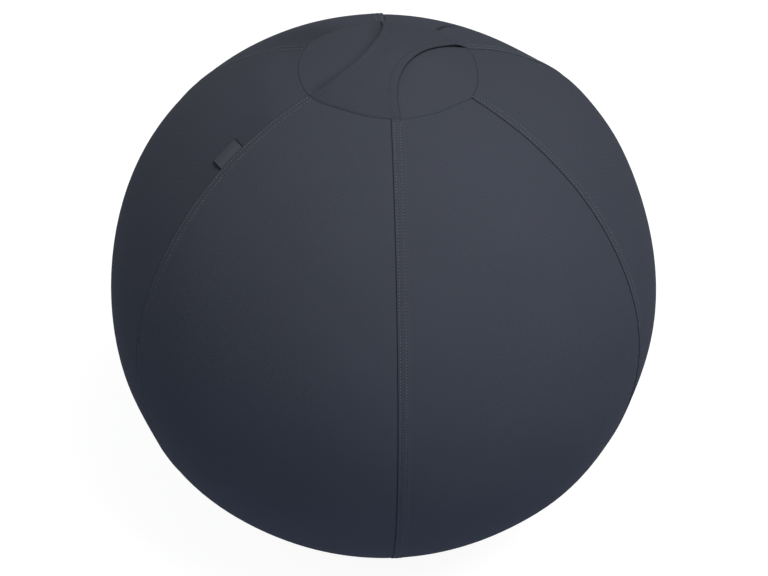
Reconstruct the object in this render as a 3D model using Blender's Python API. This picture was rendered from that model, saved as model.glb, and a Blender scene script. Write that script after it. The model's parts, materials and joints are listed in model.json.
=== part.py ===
"""Sitting ball: a sewn fabric cover with a carry strap, zipped over an air-filled bladder.

Metres, +Z up. The origin is on the floor under the middle of the ball, and the front
seam faces -Y. Azimuth runs from the front seam towards +X, and the polar angle runs
from the crown down.
"""

import math

import bmesh
import bpy
from mathutils import Matrix, Vector

# Cover
BALL_RADIUS = 0.325  # widest radius, on the seams
CROWN_RISE = 0.320  # crown above the widest level
FLOOR_FLAT_RADIUS = 0.066  # flat that the ball settles onto
FLOOR_BLEND_RADIUS = 0.120  # round between that flat and the ball
PANEL_COUNT = 6
PANEL_DIP = 0.0033  # how far the middle of a panel lies inside its seams
CLOTH = 0.0012
LAP_WIDTH = 0.0115  # stitched-down allowance beside each seam
LAP_RISE = 0.0008  # how far that allowance stands proud
CLEARANCE = 0.0003  # between pieces that are sewn together or rest on each other

# Crown patch and carry strap
PATCH_RADIUS = 0.0985
PATCH_CORNER = 0.0025  # how far the patch reaches out at each seam
STRAP_WAIST = 0.050
STRAP_THICKNESS = 0.0020
STRAP_ARCH = 0.0080  # height of the strap's middle over the patch
STRAP_AZIMUTH = math.radians(-29)  # the strap's front end
STRAP_END_ANGLE = math.radians(65)  # width of its ends round the patch seam

# Folded label in the left front seam
LABEL_SEAM = -1  # seam number, counted from the front
LABEL_DROP = 0.1058  # middle of the label below the patch seam, along the cover
LABEL_LENGTH = 0.034
LABEL_WIDTH = 0.016
LABEL_PLY = 0.0006
LABEL_THICKNESS = 0.0018

# Zip in the rear seam
ZIP_FOOT = 0.024  # lower end of the zip above the base seam, along the cover
ZIP_LENGTH = 0.320
ZIP_SLOT = 0.018  # between the panel edges
ZIP_END_TAPER = 0.010  # length over which the slot opens and closes
TAPE_THICKNESS = 0.0006
TAPE_REACH = 0.008  # tape under each panel edge
CHAIN_GAP = 0.0020  # between the two rows of teeth
CHAIN_WIDTH = 0.0036
CHAIN_HEIGHT = 0.0022
TOOTH_PITCH = 0.005
TOOTH_DEPTH = 0.0012
STOP_LENGTH = 0.003
STOP_OVERHANG = 0.0008  # how far a stop reaches past the teeth
SLIDER_LENGTH = 0.011
SLIDER_PLATE = 0.0010
SLIDER_FLANGE = 0.0008
BRIDGE_LENGTH = 0.0092
BRIDGE_WIDTH = 0.0016
BRIDGE_BAR = 0.0013
BRIDGE_ROOM = 0.0026  # height of the opening under the bridge
PULL_LENGTH = 0.028
PULL_WIDTH = 0.0066
PULL_THICKNESS = 0.0014
PULL_WINDOW = 0.008
PULL_CORNER = 0.0018

# Bladder and its plug
BLADDER_WALL = 0.0010
GROOVE_HALF_WIDTH = 0.045  # where the bladder gives way behind the zip
PORT_RISE = 0.0005
PORT_DEPTH = 0.024
PORT_WALL = 0.0022
PLUG_HEAD_RADIUS = 0.0065
PLUG_HEAD_THICKNESS = 0.0018
PLUG_SHANK_RADIUS = 0.0043
PLUG_TIP_RADIUS = 0.0036
PLUG_LENGTH = 0.020

# Weighted ring and its lining
RING_WIDTH = 0.016
RING_HEIGHT = 0.009
RING_CORNER = 0.003
RING_INSET = 0.003  # inside the edge of the floor flat
LINING = 0.0008
LINING_HEM = 0.010  # from the lining's edge to the base seam

# Facets
PANEL_COLUMNS = 7
PANEL_ROWS = (11, 1, 7, 1, 1)  # to the zip, its upper taper, the zip, its lower taper, to the base seam
PATCH_RINGS = 4
PATCH_SIDES = 48
STRAP_ROWS = 14
STRAP_COLUMNS = 6
TAPE_ROWS = 16
BLADDER_SIDES = 36
BLADDER_ROWS = 16
BASE_SIDES = 48
PLUG_SIDES = 20
BLEND_STEPS = 4
CORNER_STEPS = 3

# Worked out from the sizes above
PANEL_ANGLE = 2 * math.pi / PANEL_COUNT
BLEND_REACH = BALL_RADIUS - FLOOR_BLEND_RADIUS
CENTRE_HEIGHT = FLOOR_BLEND_RADIUS + math.sqrt(BLEND_REACH**2 - FLOOR_FLAT_RADIUS**2)
BLEND_ANGLE = math.asin(FLOOR_FLAT_RADIUS / BLEND_REACH)
BASE_POLAR = math.pi - BLEND_ANGLE
PATCH_POLAR = math.asin(PATCH_RADIUS / BALL_RADIUS)
ZIP_END = BASE_POLAR - ZIP_FOOT / BALL_RADIUS
ZIP_TOP = ZIP_END - ZIP_LENGTH / BALL_RADIUS
ZIP_TAPER_ANGLE = ZIP_END_TAPER / BALL_RADIUS
ZIP_SEAM = PANEL_COUNT // 2
REAR = ZIP_SEAM * PANEL_ANGLE
ROW_ANGLE = max(
    (ZIP_TOP - PATCH_POLAR) / PANEL_ROWS[0],
    (ZIP_END - ZIP_TOP) / PANEL_ROWS[2],
)
FACET_SAG = BALL_RADIUS * ((PANEL_ANGLE / PANEL_COLUMNS) ** 2 + ROW_ANGLE**2) / 8

# Levels of the zip, as distances from the ball's centre
TAPE_OUT = BALL_RADIUS - CLOTH - FACET_SAG - CLEARANCE
TAPE_IN = TAPE_OUT - TAPE_THICKNESS
CHAIN_LOW = TAPE_OUT + CLEARANCE
CHAIN_TOP = CHAIN_LOW + CHAIN_HEIGHT
PLATE_LOW = CHAIN_TOP + CLEARANCE
PLATE_TOP = PLATE_LOW + SLIDER_PLATE
UNDERPLATE_TOP = TAPE_IN - CLEARANCE
UNDERPLATE_LOW = UNDERPLATE_TOP - SLIDER_PLATE
PORT_FACE = UNDERPLATE_LOW - 2 * CLEARANCE
CHAIN_EDGE = CHAIN_GAP / 2 + CHAIN_WIDTH
FLANGE_IN = CHAIN_EDGE + CLEARANCE
SLIDER_HALF_WIDTH = FLANGE_IN + SLIDER_FLANGE
CHAIN_START = ZIP_TOP + ZIP_TAPER_ANGLE + (STOP_LENGTH + CLEARANCE) / BALL_RADIUS
CHAIN_END = ZIP_END - ZIP_TAPER_ANGLE - (STOP_LENGTH + CLEARANCE) / BALL_RADIUS
SLIDER_POLAR = CHAIN_START + (SLIDER_LENGTH / 2 + CLEARANCE) / BALL_RADIUS
SLIDER_TRAVEL = CHAIN_END + CHAIN_START - 2 * SLIDER_POLAR
PORT_POLAR = (ZIP_TOP + ZIP_END) / 2
PULL_HINGE = Vector((
    0,
    BRIDGE_LENGTH / 2 - BRIDGE_BAR - PULL_THICKNESS / 2 - CLEARANCE,
    PLATE_TOP + BRIDGE_ROOM / 2,
))

# Levels of the base and the bladder
BLADDER_DEPTH = CLOTH + FACET_SAG + CLEARANCE
RING_LOW = CLOTH + CLEARANCE
LINING_LOW = RING_LOW + RING_HEIGHT + CLEARANCE
BLADDER_BASE = LINING_LOW + LINING + CLEARANCE
GROOVE_DEPTH = BALL_RADIUS - BLADDER_DEPTH - (PORT_FACE - PORT_RISE)


# Helpers

def finish(name, colour, roughness, metallic=0.0):
    """A plain material."""
    made = bpy.data.materials.new(name)
    made.use_nodes = True
    shader = made.node_tree.nodes["Principled BSDF"]
    shader.inputs["Base Color"].default_value = (*colour, 1.0)
    shader.inputs["Roughness"].default_value = roughness
    shader.inputs["Metallic"].default_value = metallic
    return made


def spread(start, end, count):
    """Evenly spaced values from start to end, in count steps."""
    return [start + (end - start) * step / count for step in range(count + 1)]


def share(value, low, high):
    """How far value is from low to high, held between 0 and 1."""
    return min(max((value - low) / (high - low), 0.0), 1.0)


def add_object(name, shape, material, smooth=True):
    """Turns a bmesh into a named object with its faces pointing out."""
    bmesh.ops.recalc_face_normals(shape, faces=shape.faces)
    mesh = bpy.data.meshes.new(name)
    shape.to_mesh(mesh)
    shape.free()
    if smooth:
        mesh.shade_smooth()
        mesh.set_sharp_from_angle(angle=math.radians(35))
    if material:
        mesh.materials.append(material)
    made = bpy.data.objects.new(name, mesh)
    bpy.context.scene.collection.objects.link(made)
    return made


def add_helper(name, shape):
    """A shape that only cuts or joins another one."""
    made = add_object(name, shape, None)
    made.hide_render = True
    made.display_type = "WIRE"
    return made


def add_boolean(target, operation, other):
    step = target.modifiers.new(other.name, "BOOLEAN")
    step.operation = operation
    step.object = other
    step.solver = "EXACT"


def add_empty(name, location, turn_about_x=0.0):
    made = bpy.data.objects.new(name, None)
    made.location = location
    made.rotation_euler.x = turn_about_x
    bpy.context.scene.collection.objects.link(made)
    return made


def layered_sheet(outer, inner):
    """A closed sheet from two matching grids of points, its two faces."""
    shape = bmesh.new()
    layers = [[[shape.verts.new(point) for point in row] for row in grid] for grid in (outer, inner)]
    rows = len(outer)
    columns = len(outer[0])
    for layer in layers:
        for above, below in zip(layer, layer[1:]):
            for column in range(columns - 1):
                after = column + 1
                shape.faces.new((above[column], above[after], below[after], below[column]))
    rim = [(0, column) for column in range(columns)]
    rim += [(row, columns - 1) for row in range(1, rows)]
    rim += [(rows - 1, column) for column in range(columns - 2, -1, -1)]
    rim += [(row, 0) for row in range(rows - 2, 0, -1)]
    for (row, column), (next_row, next_column) in zip(rim, rim[1:] + rim[:1]):
        shape.faces.new((
            layers[0][row][column],
            layers[0][next_row][next_column],
            layers[1][next_row][next_column],
            layers[1][row][column],
        ))
    return shape


def add_skin(shape, pole, rings):
    """Faces from a pole over closed rings of points. Returns the last ring's vertices."""
    tip = shape.verts.new(pole)
    loops = [[shape.verts.new(point) for point in ring] for ring in rings]
    sides = len(loops[0])
    for side in range(sides):
        shape.faces.new((tip, loops[0][side], loops[0][(side + 1) % sides]))
    for upper, lower in zip(loops, loops[1:]):
        for side in range(sides):
            after = (side + 1) % sides
            shape.faces.new((upper[side], lower[side], lower[after], upper[after]))
    return loops[-1]


def turned(profile, sides, closed=False):
    """A profile of (radius, height) points spun about Z."""
    shape = bmesh.new()
    points = [shape.verts.new((radius, 0, height)) for radius, height in profile]
    edges = [shape.edges.new(pair) for pair in zip(points, points[1:])]
    if closed:
        edges.append(shape.edges.new((points[-1], points[0])))
    bmesh.ops.spin(shape, geom=points + edges, axis=(0, 0, 1), angle=2 * math.pi, steps=sides)
    bmesh.ops.remove_doubles(shape, verts=shape.verts, dist=1e-6)
    return shape


def prism(outline, depth, across, up):
    """An outline of (across, up) points, given depth along the third direction."""
    shape = bmesh.new()
    along = across.cross(up)
    start = [across * x + up * y - along * depth / 2 for x, y in outline]
    base = shape.faces.new([shape.verts.new(point) for point in start])
    grown = bmesh.ops.extrude_face_region(shape, geom=[base])
    moved = [item for item in grown["geom"] if isinstance(item, bmesh.types.BMVert)]
    bmesh.ops.translate(shape, verts=moved, vec=along * depth)
    return shape


def arc(centre, radius, start, end, steps):
    """Points of (across, up) on an arc, angles in radians."""
    return [
        (centre[0] + radius * math.cos(angle), centre[1] + radius * math.sin(angle))
        for angle in spread(start, end, steps)
    ]


X_AXIS = Vector((1, 0, 0))
Y_AXIS = Vector((0, 1, 0))
Z_AXIS = Vector((0, 0, 1))


# Shape of the ball

def panel_dip(polar, azimuth):
    """How far the cover lies inside its seams, most in the middle of each panel."""
    down = math.sin(math.pi * share(polar, PATCH_POLAR, BASE_POLAR)) ** 2
    return PANEL_DIP * down * math.sin(azimuth * PANEL_COUNT / 2) ** 2


def cover_normal(polar, azimuth):
    rise = CROWN_RISE if polar < math.pi / 2 else BALL_RADIUS
    out = math.sin(polar) / BALL_RADIUS
    up = math.cos(polar) / rise
    return Vector((out * math.sin(azimuth), -out * math.cos(azimuth), up)).normalized()


def cover_point(polar, azimuth, depth=0.0):
    """Point at a depth below the cover's outer face."""
    rise = CROWN_RISE if polar < math.pi / 2 else BALL_RADIUS
    out = BALL_RADIUS * math.sin(polar)
    surface = Vector((
        out * math.sin(azimuth),
        -out * math.cos(azimuth),
        CENTRE_HEIGHT + rise * math.cos(polar),
    ))
    return surface - cover_normal(polar, azimuth) * (depth + panel_dip(polar, azimuth))


def patch_radius(azimuth):
    return PATCH_RADIUS + PATCH_CORNER * math.cos(PANEL_COUNT * azimuth)


def crown_height(across):
    """Height of the cover near the crown, at a distance from the middle."""
    return CENTRE_HEIGHT + CROWN_RISE * math.sqrt(1 - (across / BALL_RADIUS) ** 2)


# Cover pieces

def panel_polars(seam_radius):
    """Polar angles of a panel's rows, from the patch seam to the base seam."""
    gap = CLEARANCE / 2 / BALL_RADIUS
    levels = (
        math.asin(seam_radius / BALL_RADIUS) + gap,
        ZIP_TOP,
        ZIP_TOP + ZIP_TAPER_ANGLE,
        ZIP_END - ZIP_TAPER_ANGLE,
        ZIP_END,
        BASE_POLAR - gap,
    )
    polars = [levels[0]]
    for start, end, count in zip(levels, levels[1:], PANEL_ROWS):
        polars += spread(start, end, count)[1:]
    return polars


def seam_half_gap(polar, seam):
    """Half the gap between two panels, wider where the zip is."""
    if seam != ZIP_SEAM:
        return CLEARANCE / 2
    inside = min(polar - ZIP_TOP, ZIP_END - polar)
    opened = share(inside, 0, ZIP_TAPER_ANGLE)
    return CLEARANCE / 2 + opened * (ZIP_SLOT - CLEARANCE) / 2


def make_cover_panel(number, cloth):
    """One gore, with its stitched-down allowance along the edge nearer the front seam's azimuth."""
    outer = []
    inner = []
    for row, polar in enumerate(panel_polars(PATCH_RADIUS)):
        around = BALL_RADIUS * math.sin(polar)
        edge = seam_half_gap(polar, number)
        far = seam_half_gap(polar, number + 1)
        start = number * PANEL_ANGLE
        lap_end = start + (edge + LAP_WIDTH) / around
        flat_start = lap_end + LAP_RISE / around
        flat_end = start + PANEL_ANGLE - far / around
        azimuths = [start + edge / around, lap_end] + spread(flat_start, flat_end, PANEL_COLUMNS)
        rises = [LAP_RISE, LAP_RISE] + [0.0] * (PANEL_COLUMNS + 1)
        polars = [panel_polars(patch_radius(azimuth))[row] for azimuth in azimuths]
        outer.append([cover_point(p, a, -rise) for p, a, rise in zip(polars, azimuths, rises)])
        inner.append([cover_point(p, a, CLOTH) for p, a in zip(polars, azimuths)])
    return add_object(f"cover_panel_{number + 1}", layered_sheet(outer, inner), cloth)


def make_top_patch(cloth):
    def ring(part, depth):
        points = []
        for azimuth in spread(0, 2 * math.pi, PATCH_SIDES)[:-1]:
            radius = (patch_radius(azimuth) - CLEARANCE / 2) * part
            points.append(cover_point(math.asin(radius / BALL_RADIUS), azimuth, depth))
        return points

    parts = spread(0, 1, PATCH_RINGS)[1:]
    shape = bmesh.new()
    upper = add_skin(shape, cover_point(0, 0), [ring(part, 0) for part in parts])
    lower = add_skin(shape, cover_point(0, 0, CLOTH), [ring(part, CLOTH) for part in parts])
    for side in range(PATCH_SIDES):
        after = (side + 1) % PATCH_SIDES
        shape.faces.new((upper[side], upper[after], lower[after], lower[side]))
    return add_object("top_patch", shape, cloth)


def make_carry_strap(cloth):
    """An hourglass band over the patch, about a panel wide at its ends and arched in the middle."""
    end_radius = PATCH_RADIUS - PATCH_CORNER - CLEARANCE
    end_half_width = end_radius * math.sin(STRAP_END_ANGLE / 2)
    corner_reach = end_radius * math.cos(STRAP_END_ANGLE / 2)
    narrowing = end_half_width - STRAP_WAIST / 2
    edge_radius = (corner_reach**2 + narrowing**2) / (2 * narrowing)
    forward = Vector((math.sin(STRAP_AZIMUTH), -math.cos(STRAP_AZIMUTH), 0))
    sideways = Vector((math.cos(STRAP_AZIMUTH), math.sin(STRAP_AZIMUTH), 0))
    upper = []
    lower = []
    for along in spread(-1, 1, STRAP_ROWS):
        bow = edge_radius - math.sqrt(edge_radius**2 - (along * corner_reach) ** 2)
        half_width = STRAP_WAIST / 2 + bow
        lift = CLEARANCE + STRAP_ARCH * (1 - along**2) ** 2
        under = []
        for across in spread(-1, 1, STRAP_COLUMNS):
            reach = along * math.sqrt(end_radius**2 - (across * end_half_width) ** 2)
            place = forward * reach + sideways * (across * half_width)
            under.append(place + Z_AXIS * (crown_height(place.length) + lift))
        lower.append(under)
        upper.append([point + Z_AXIS * STRAP_THICKNESS for point in under])
    return add_object("carry_strap", layered_sheet(upper, lower), cloth)


def make_side_label(weave):
    """A folded loop of tape. Its own frame: X from the seam, Y down the seam, Z out of the ball."""
    azimuth = LABEL_SEAM * PANEL_ANGLE
    polar = math.asin(patch_radius(azimuth) / BALL_RADIUS) + LABEL_DROP / BALL_RADIUS
    out = cover_normal(polar, azimuth)
    from_seam = Vector((-math.cos(azimuth), -math.sin(azimuth), 0))
    hinge = cover_point(polar, azimuth) + out * (CLEARANCE + LABEL_THICKNESS / 2)
    outside = LABEL_THICKNESS / 2
    inside = outside - LABEL_PLY
    fold = LABEL_WIDTH - outside
    quarter = math.pi / 2
    outline = [(CLEARANCE, -outside)]
    outline += arc((fold, 0), outside, -quarter, quarter, 2 * CORNER_STEPS)
    outline += [(CLEARANCE, outside), (CLEARANCE, inside)]
    outline += arc((fold, 0), inside, quarter, -quarter, 2 * CORNER_STEPS)
    outline += [(CLEARANCE, -inside)]
    label = add_object("side_label", prism(outline, LABEL_LENGTH, X_AXIS, Z_AXIS), weave)
    down = out.cross(from_seam)
    turn = Matrix((from_seam, down, out)).transposed().to_4x4()
    label.matrix_world = Matrix.Translation(hinge) @ turn
    print("label hinge", [round(v, 5) for v in hinge], "axis", [round(v, 5) for v in -down])
    return label


# Base

def make_bottom_patch(cloth):
    """Round patch that closes the panels: a flat that meets the floor, and the round up to the base seam."""
    centre = (FLOOR_FLAT_RADIUS, FLOOR_BLEND_RADIUS)
    start = -math.pi / 2
    end = start + BLEND_ANGLE - CLEARANCE / 2 / FLOOR_BLEND_RADIUS
    profile = [(0, 0)]
    profile += arc(centre, FLOOR_BLEND_RADIUS, start, end, BLEND_STEPS)
    profile += arc(centre, FLOOR_BLEND_RADIUS - CLOTH, end, start, BLEND_STEPS)
    profile += [(0, CLOTH)]
    return add_object("bottom_patch", turned(profile, BASE_SIDES), cloth)


def make_base_ring(rubber):
    outer = FLOOR_FLAT_RADIUS - RING_INSET
    inner = outer - RING_WIDTH
    shoulder = RING_LOW + RING_HEIGHT - RING_CORNER
    quarter = math.pi / 2
    profile = [(inner, RING_LOW), (outer, RING_LOW)]
    profile += arc((outer - RING_CORNER, shoulder), RING_CORNER, 0, quarter, CORNER_STEPS)
    profile += arc((inner + RING_CORNER, shoulder), RING_CORNER, quarter, 2 * quarter, CORNER_STEPS)
    return add_object("base_ring", turned(profile, BASE_SIDES, closed=True), rubber)


def make_base_lining(lining):
    """Disc of cloth over the ring, sewn down near the base seam."""
    edge = BALL_RADIUS * math.sin(BASE_POLAR) - LINING_HEM
    seat_radius = FLOOR_BLEND_RADIUS - CLOTH
    rise = FLOOR_BLEND_RADIUS - math.sqrt(seat_radius**2 - (edge - FLOOR_FLAT_RADIUS) ** 2)
    edge_low = rise + CLEARANCE
    profile = [
        (0, LINING_LOW),
        (FLOOR_FLAT_RADIUS, LINING_LOW),
        (edge, edge_low),
        (edge, edge_low + LINING),
        (FLOOR_FLAT_RADIUS, LINING_LOW + LINING),
        (0, LINING_LOW + LINING),
    ]
    return add_object("base_lining", turned(profile, BASE_SIDES), lining)


# Zip

def zip_point(across, polar, level):
    """Point on the rear meridian, across along X, at a level from the ball's centre."""
    out = math.sqrt(level**2 - across**2)
    return Vector((across, out * math.sin(polar), CENTRE_HEIGHT + out * math.cos(polar)))


def zip_strip(name, material, polars, columns, high, low):
    """A strip along the zip. columns gives the places across it for each row."""
    outer = [[zip_point(x, p, high) for x in columns(row)] for row, p in enumerate(polars)]
    inner = [[zip_point(x, p, low) for x in columns(row)] for row, p in enumerate(polars)]
    return add_object(name, layered_sheet(outer, inner), material, smooth=False)


def make_zip_side(side_name, side, tape, plastic):
    """Tape, teeth and top stop of one half of the zip."""
    overlap = TAPE_REACH / BALL_RADIUS
    tape_polars = spread(ZIP_TOP - overlap, ZIP_END + overlap, TAPE_ROWS)
    tape_places = [side * x for x in (CHAIN_GAP / 2, ZIP_SLOT / 2, ZIP_SLOT / 2 + TAPE_REACH)]
    zip_strip(f"zip_tape_{side_name}", tape, tape_polars, lambda row: tape_places, TAPE_OUT, TAPE_IN)

    def tooth_places(row):
        notch = TOOTH_DEPTH * ((row + (side > 0)) % 2)
        return [side * (CHAIN_GAP / 2 + notch), side * CHAIN_EDGE]

    half_pitches = 2 * round((CHAIN_END - CHAIN_START) * BALL_RADIUS / TOOTH_PITCH)
    teeth_polars = spread(CHAIN_START, CHAIN_END, half_pitches)
    zip_strip(f"zip_teeth_{side_name}", plastic, teeth_polars, tooth_places, CHAIN_TOP, CHAIN_LOW)

    stop_start = ZIP_TOP + ZIP_TAPER_ANGLE
    stop_polars = [stop_start, stop_start + STOP_LENGTH / BALL_RADIUS]
    stop_places = [side * CHAIN_GAP / 2, side * (CHAIN_EDGE + STOP_OVERHANG)]
    stop_name = f"zip_top_stop_{side_name}"
    zip_strip(stop_name, plastic, stop_polars, lambda row: stop_places, CHAIN_TOP, CHAIN_LOW)


def make_bottom_stop(plastic):
    stop_end = ZIP_END - ZIP_TAPER_ANGLE
    polars = [stop_end - STOP_LENGTH / BALL_RADIUS, stop_end]
    reach = CHAIN_EDGE + STOP_OVERHANG
    zip_strip("zip_bottom_stop", plastic, polars, lambda row: (-reach, 0, reach), CHAIN_TOP, CHAIN_LOW)


def make_zip_slider(metal, travel_axis):
    """Two plates on a post, with flanges round the teeth and a bridge for the pull."""
    post = CHAIN_GAP / 2 - CLEARANCE
    half = [
        (SLIDER_HALF_WIDTH, PLATE_TOP),
        (SLIDER_HALF_WIDTH, CHAIN_LOW),
        (FLANGE_IN, CHAIN_LOW),
        (FLANGE_IN, PLATE_LOW),
        (post, PLATE_LOW),
        (post, UNDERPLATE_TOP),
        (SLIDER_HALF_WIDTH, UNDERPLATE_TOP),
        (SLIDER_HALF_WIDTH, UNDERPLATE_LOW),
    ]
    outline = half + [(-x, z) for x, z in reversed(half)]
    slider = add_object("zip_slider", prism(outline, SLIDER_LENGTH, X_AXIS, Z_AXIS), metal, smooth=False)
    reach = BRIDGE_LENGTH / 2
    foot = PLATE_TOP - SLIDER_PLATE / 2
    room = PLATE_TOP + BRIDGE_ROOM
    crest = room + BRIDGE_BAR
    bridge = [
        (-reach, foot),
        (-reach, room),
        (-reach + BRIDGE_BAR, crest),
        (reach - BRIDGE_BAR, crest),
        (reach, room),
        (reach, foot),
        (reach - BRIDGE_BAR, foot),
        (reach - BRIDGE_BAR, room),
        (-reach + BRIDGE_BAR, room),
        (-reach + BRIDGE_BAR, foot),
    ]
    loop = add_helper("slider_bridge", prism(bridge, BRIDGE_WIDTH, Y_AXIS, Z_AXIS))
    add_boolean(slider, "UNION", loop)
    slider.parent = travel_axis
    loop.parent = travel_axis
    return slider


def make_zip_pull(metal, travel_axis):
    """A flat tab whose cross bar lies under the slider's bridge. It hangs straight down."""
    half = PULL_WIDTH / 2
    back = -PULL_THICKNESS / 2
    tip = back + PULL_LENGTH
    quarter = math.pi / 2
    outline = []
    corners = (
        (half, tip, 0),
        (-half, tip, quarter),
        (-half, back, 2 * quarter),
        (half, back, 3 * quarter),
    )
    for x, y, start in corners:
        centre = (x - math.copysign(PULL_CORNER, x), y - math.copysign(PULL_CORNER, y))
        outline += arc(centre, PULL_CORNER, start, start + quarter, CORNER_STEPS)
    pull = add_object("zip_pull", prism(outline, PULL_THICKNESS, X_AXIS, Y_AXIS), metal, smooth=False)
    room = BRIDGE_WIDTH / 2 + CLEARANCE
    near = PULL_THICKNESS / 2
    far = near + PULL_WINDOW
    window_outline = [(-room, near), (room, near), (room, far), (-room, far)]
    window = add_helper("pull_window", prism(window_outline, 2 * PULL_THICKNESS, X_AXIS, Y_AXIS))
    add_boolean(pull, "DIFFERENCE", window)
    for piece in (pull, window):
        piece.parent = travel_axis
        piece.location = PULL_HINGE
        piece.rotation_euler.x = SLIDER_POLAR - math.pi / 2
    return pull


# Bladder

def zip_groove(polar, azimuth):
    """How far the bladder gives way behind the zip, fading over one row past its ends."""
    row_angle = math.pi / BLADDER_ROWS
    across = BALL_RADIUS * math.sin(polar) * abs(azimuth - REAR)
    beyond = max(ZIP_TOP - polar, polar - ZIP_END, 0)
    along = 1 - share(beyond, row_angle, 2 * row_angle)
    return GROOVE_DEPTH * along * max(0, 1 - (across / GROOVE_HALF_WIDTH) ** 2)


def bladder_solid(depth, base):
    """The ball's shape at a depth below the cover, with a flat underside."""
    last = math.acos((base - CENTRE_HEIGHT) / (BALL_RADIUS - depth))
    shape = bmesh.new()
    rings = []
    for polar in spread(0, last, BLADDER_ROWS)[1:]:
        azimuths = spread(0, 2 * math.pi, BLADDER_SIDES)[:-1]
        rings.append([cover_point(polar, a, depth + zip_groove(polar, a)) for a in azimuths])
    rim = add_skin(shape, cover_point(0, 0, depth), rings)
    foot = shape.verts.new((0, 0, base))
    for first, second in zip(rim, rim[1:] + rim[:1]):
        shape.faces.new((foot, first, second))
    return shape


def make_bladder(vinyl, port_axis):
    bladder = add_object("inner_bladder", bladder_solid(BLADDER_DEPTH, BLADDER_BASE), vinyl)
    hollow_depth = BLADDER_DEPTH + BLADDER_WALL
    hollow = add_helper("bladder_hollow", bladder_solid(hollow_depth, BLADDER_BASE + BLADDER_WALL))
    head_room = PLUG_HEAD_RADIUS + CLEARANCE
    recess = PORT_FACE - PLUG_HEAD_THICKNESS - CLEARANCE
    low = PORT_FACE - PORT_DEPTH
    boss_radius = head_room + PORT_WALL
    boss_profile = [(0, PORT_FACE), (boss_radius, PORT_FACE), (boss_radius, low), (0, low)]
    boss = add_helper("port_boss", turned(boss_profile, PLUG_SIDES))
    above = PORT_FACE + PORT_WALL
    below = low - PORT_WALL
    shank_room = PLUG_SHANK_RADIUS + CLEARANCE
    bore_profile = [
        (0, above),
        (head_room, above),
        (head_room, recess),
        (shank_room, recess),
        (shank_room, below),
        (0, below),
    ]
    bore = add_helper("port_bore", turned(bore_profile, PLUG_SIDES))
    boss.parent = port_axis
    bore.parent = port_axis
    add_boolean(bladder, "DIFFERENCE", hollow)
    add_boolean(bladder, "UNION", boss)
    add_boolean(bladder, "DIFFERENCE", bore)
    return bladder


def make_valve_plug(plastic, port_axis):
    """Tapered plug with a flat head, flush with the face of the port."""
    head_low = -PLUG_HEAD_THICKNESS
    profile = [
        (0, 0),
        (PLUG_HEAD_RADIUS, 0),
        (PLUG_HEAD_RADIUS, head_low),
        (PLUG_SHANK_RADIUS, head_low),
        (PLUG_TIP_RADIUS, -PLUG_LENGTH),
        (0, -PLUG_LENGTH),
    ]
    plug = add_object("valve_plug", turned(profile, PLUG_SIDES), plastic)
    plug.parent = port_axis
    plug.location.z = PORT_FACE
    return plug


def main():
    for leftover in list(bpy.data.objects):
        bpy.data.objects.remove(leftover)

    cloth = finish("slate_cloth", (0.060, 0.066, 0.083), 0.92)
    lining = finish("lining_cloth", (0.045, 0.048, 0.056), 0.92)
    weave = finish("label_weave", (0.030, 0.032, 0.038), 0.85)
    tape = finish("zip_tape", (0.030, 0.033, 0.042), 0.90)
    teeth = finish("zip_plastic", (0.020, 0.022, 0.027), 0.45)
    metal = finish("zip_metal", (0.045, 0.047, 0.052), 0.40, metallic=0.8)
    vinyl = finish("bladder_vinyl", (0.110, 0.115, 0.125), 0.50)
    plug = finish("plug_plastic", (0.700, 0.700, 0.680), 0.40)
    rubber = finish("ring_rubber", (0.020, 0.020, 0.022), 0.70)

    ball_centre = Vector((0, 0, CENTRE_HEIGHT))
    travel_axis = add_empty("zip_travel_axis", ball_centre, -SLIDER_POLAR)
    port_axis = add_empty("port_axis", ball_centre, -PORT_POLAR)

    for number in range(PANEL_COUNT):
        make_cover_panel(number, cloth)
    make_top_patch(cloth)
    make_carry_strap(cloth)
    make_side_label(weave)
    make_bottom_patch(cloth)
    make_base_ring(rubber)
    make_base_lining(lining)
    make_zip_side("left", -1, tape, teeth)
    make_zip_side("right", 1, tape, teeth)
    make_bottom_stop(teeth)
    make_zip_slider(metal, travel_axis)
    make_zip_pull(metal, travel_axis)
    make_bladder(vinyl, port_axis)
    make_valve_plug(plug, port_axis)

    hinge = Matrix.Rotation(-SLIDER_POLAR, 3, "X") @ PULL_HINGE + ball_centre
    print("ball centre", round(CENTRE_HEIGHT, 5), "crown", round(crown_height(0), 5))
    print("slider polar", round(math.degrees(SLIDER_POLAR), 3))
    print("slider travel", round(math.degrees(SLIDER_TRAVEL), 3))
    print("pull hinge", [round(value, 5) for value in hinge])
    print("port polar", round(math.degrees(PORT_POLAR), 3))


main()
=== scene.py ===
# %% [markdown]
# # A sitting ball in its sewn cover
# An office sitting ball is a bag of air in a jacket of cloth. Six long panels, cut like the
# skin of an orange, meet in six seams. A round patch closes them at the crown, another one at
# the floor, a hand strap crosses the crown, and a zip at the back lets the bladder out.
# The solid model gives every piece its place. This file gives each piece its cloth, its
# seams, its thread and its finish, in the same frame, in metres.

# %% Load the solid model
import json
import math

import bmesh
import bpy
import numpy as np
from mathutils import Matrix, Vector


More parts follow.
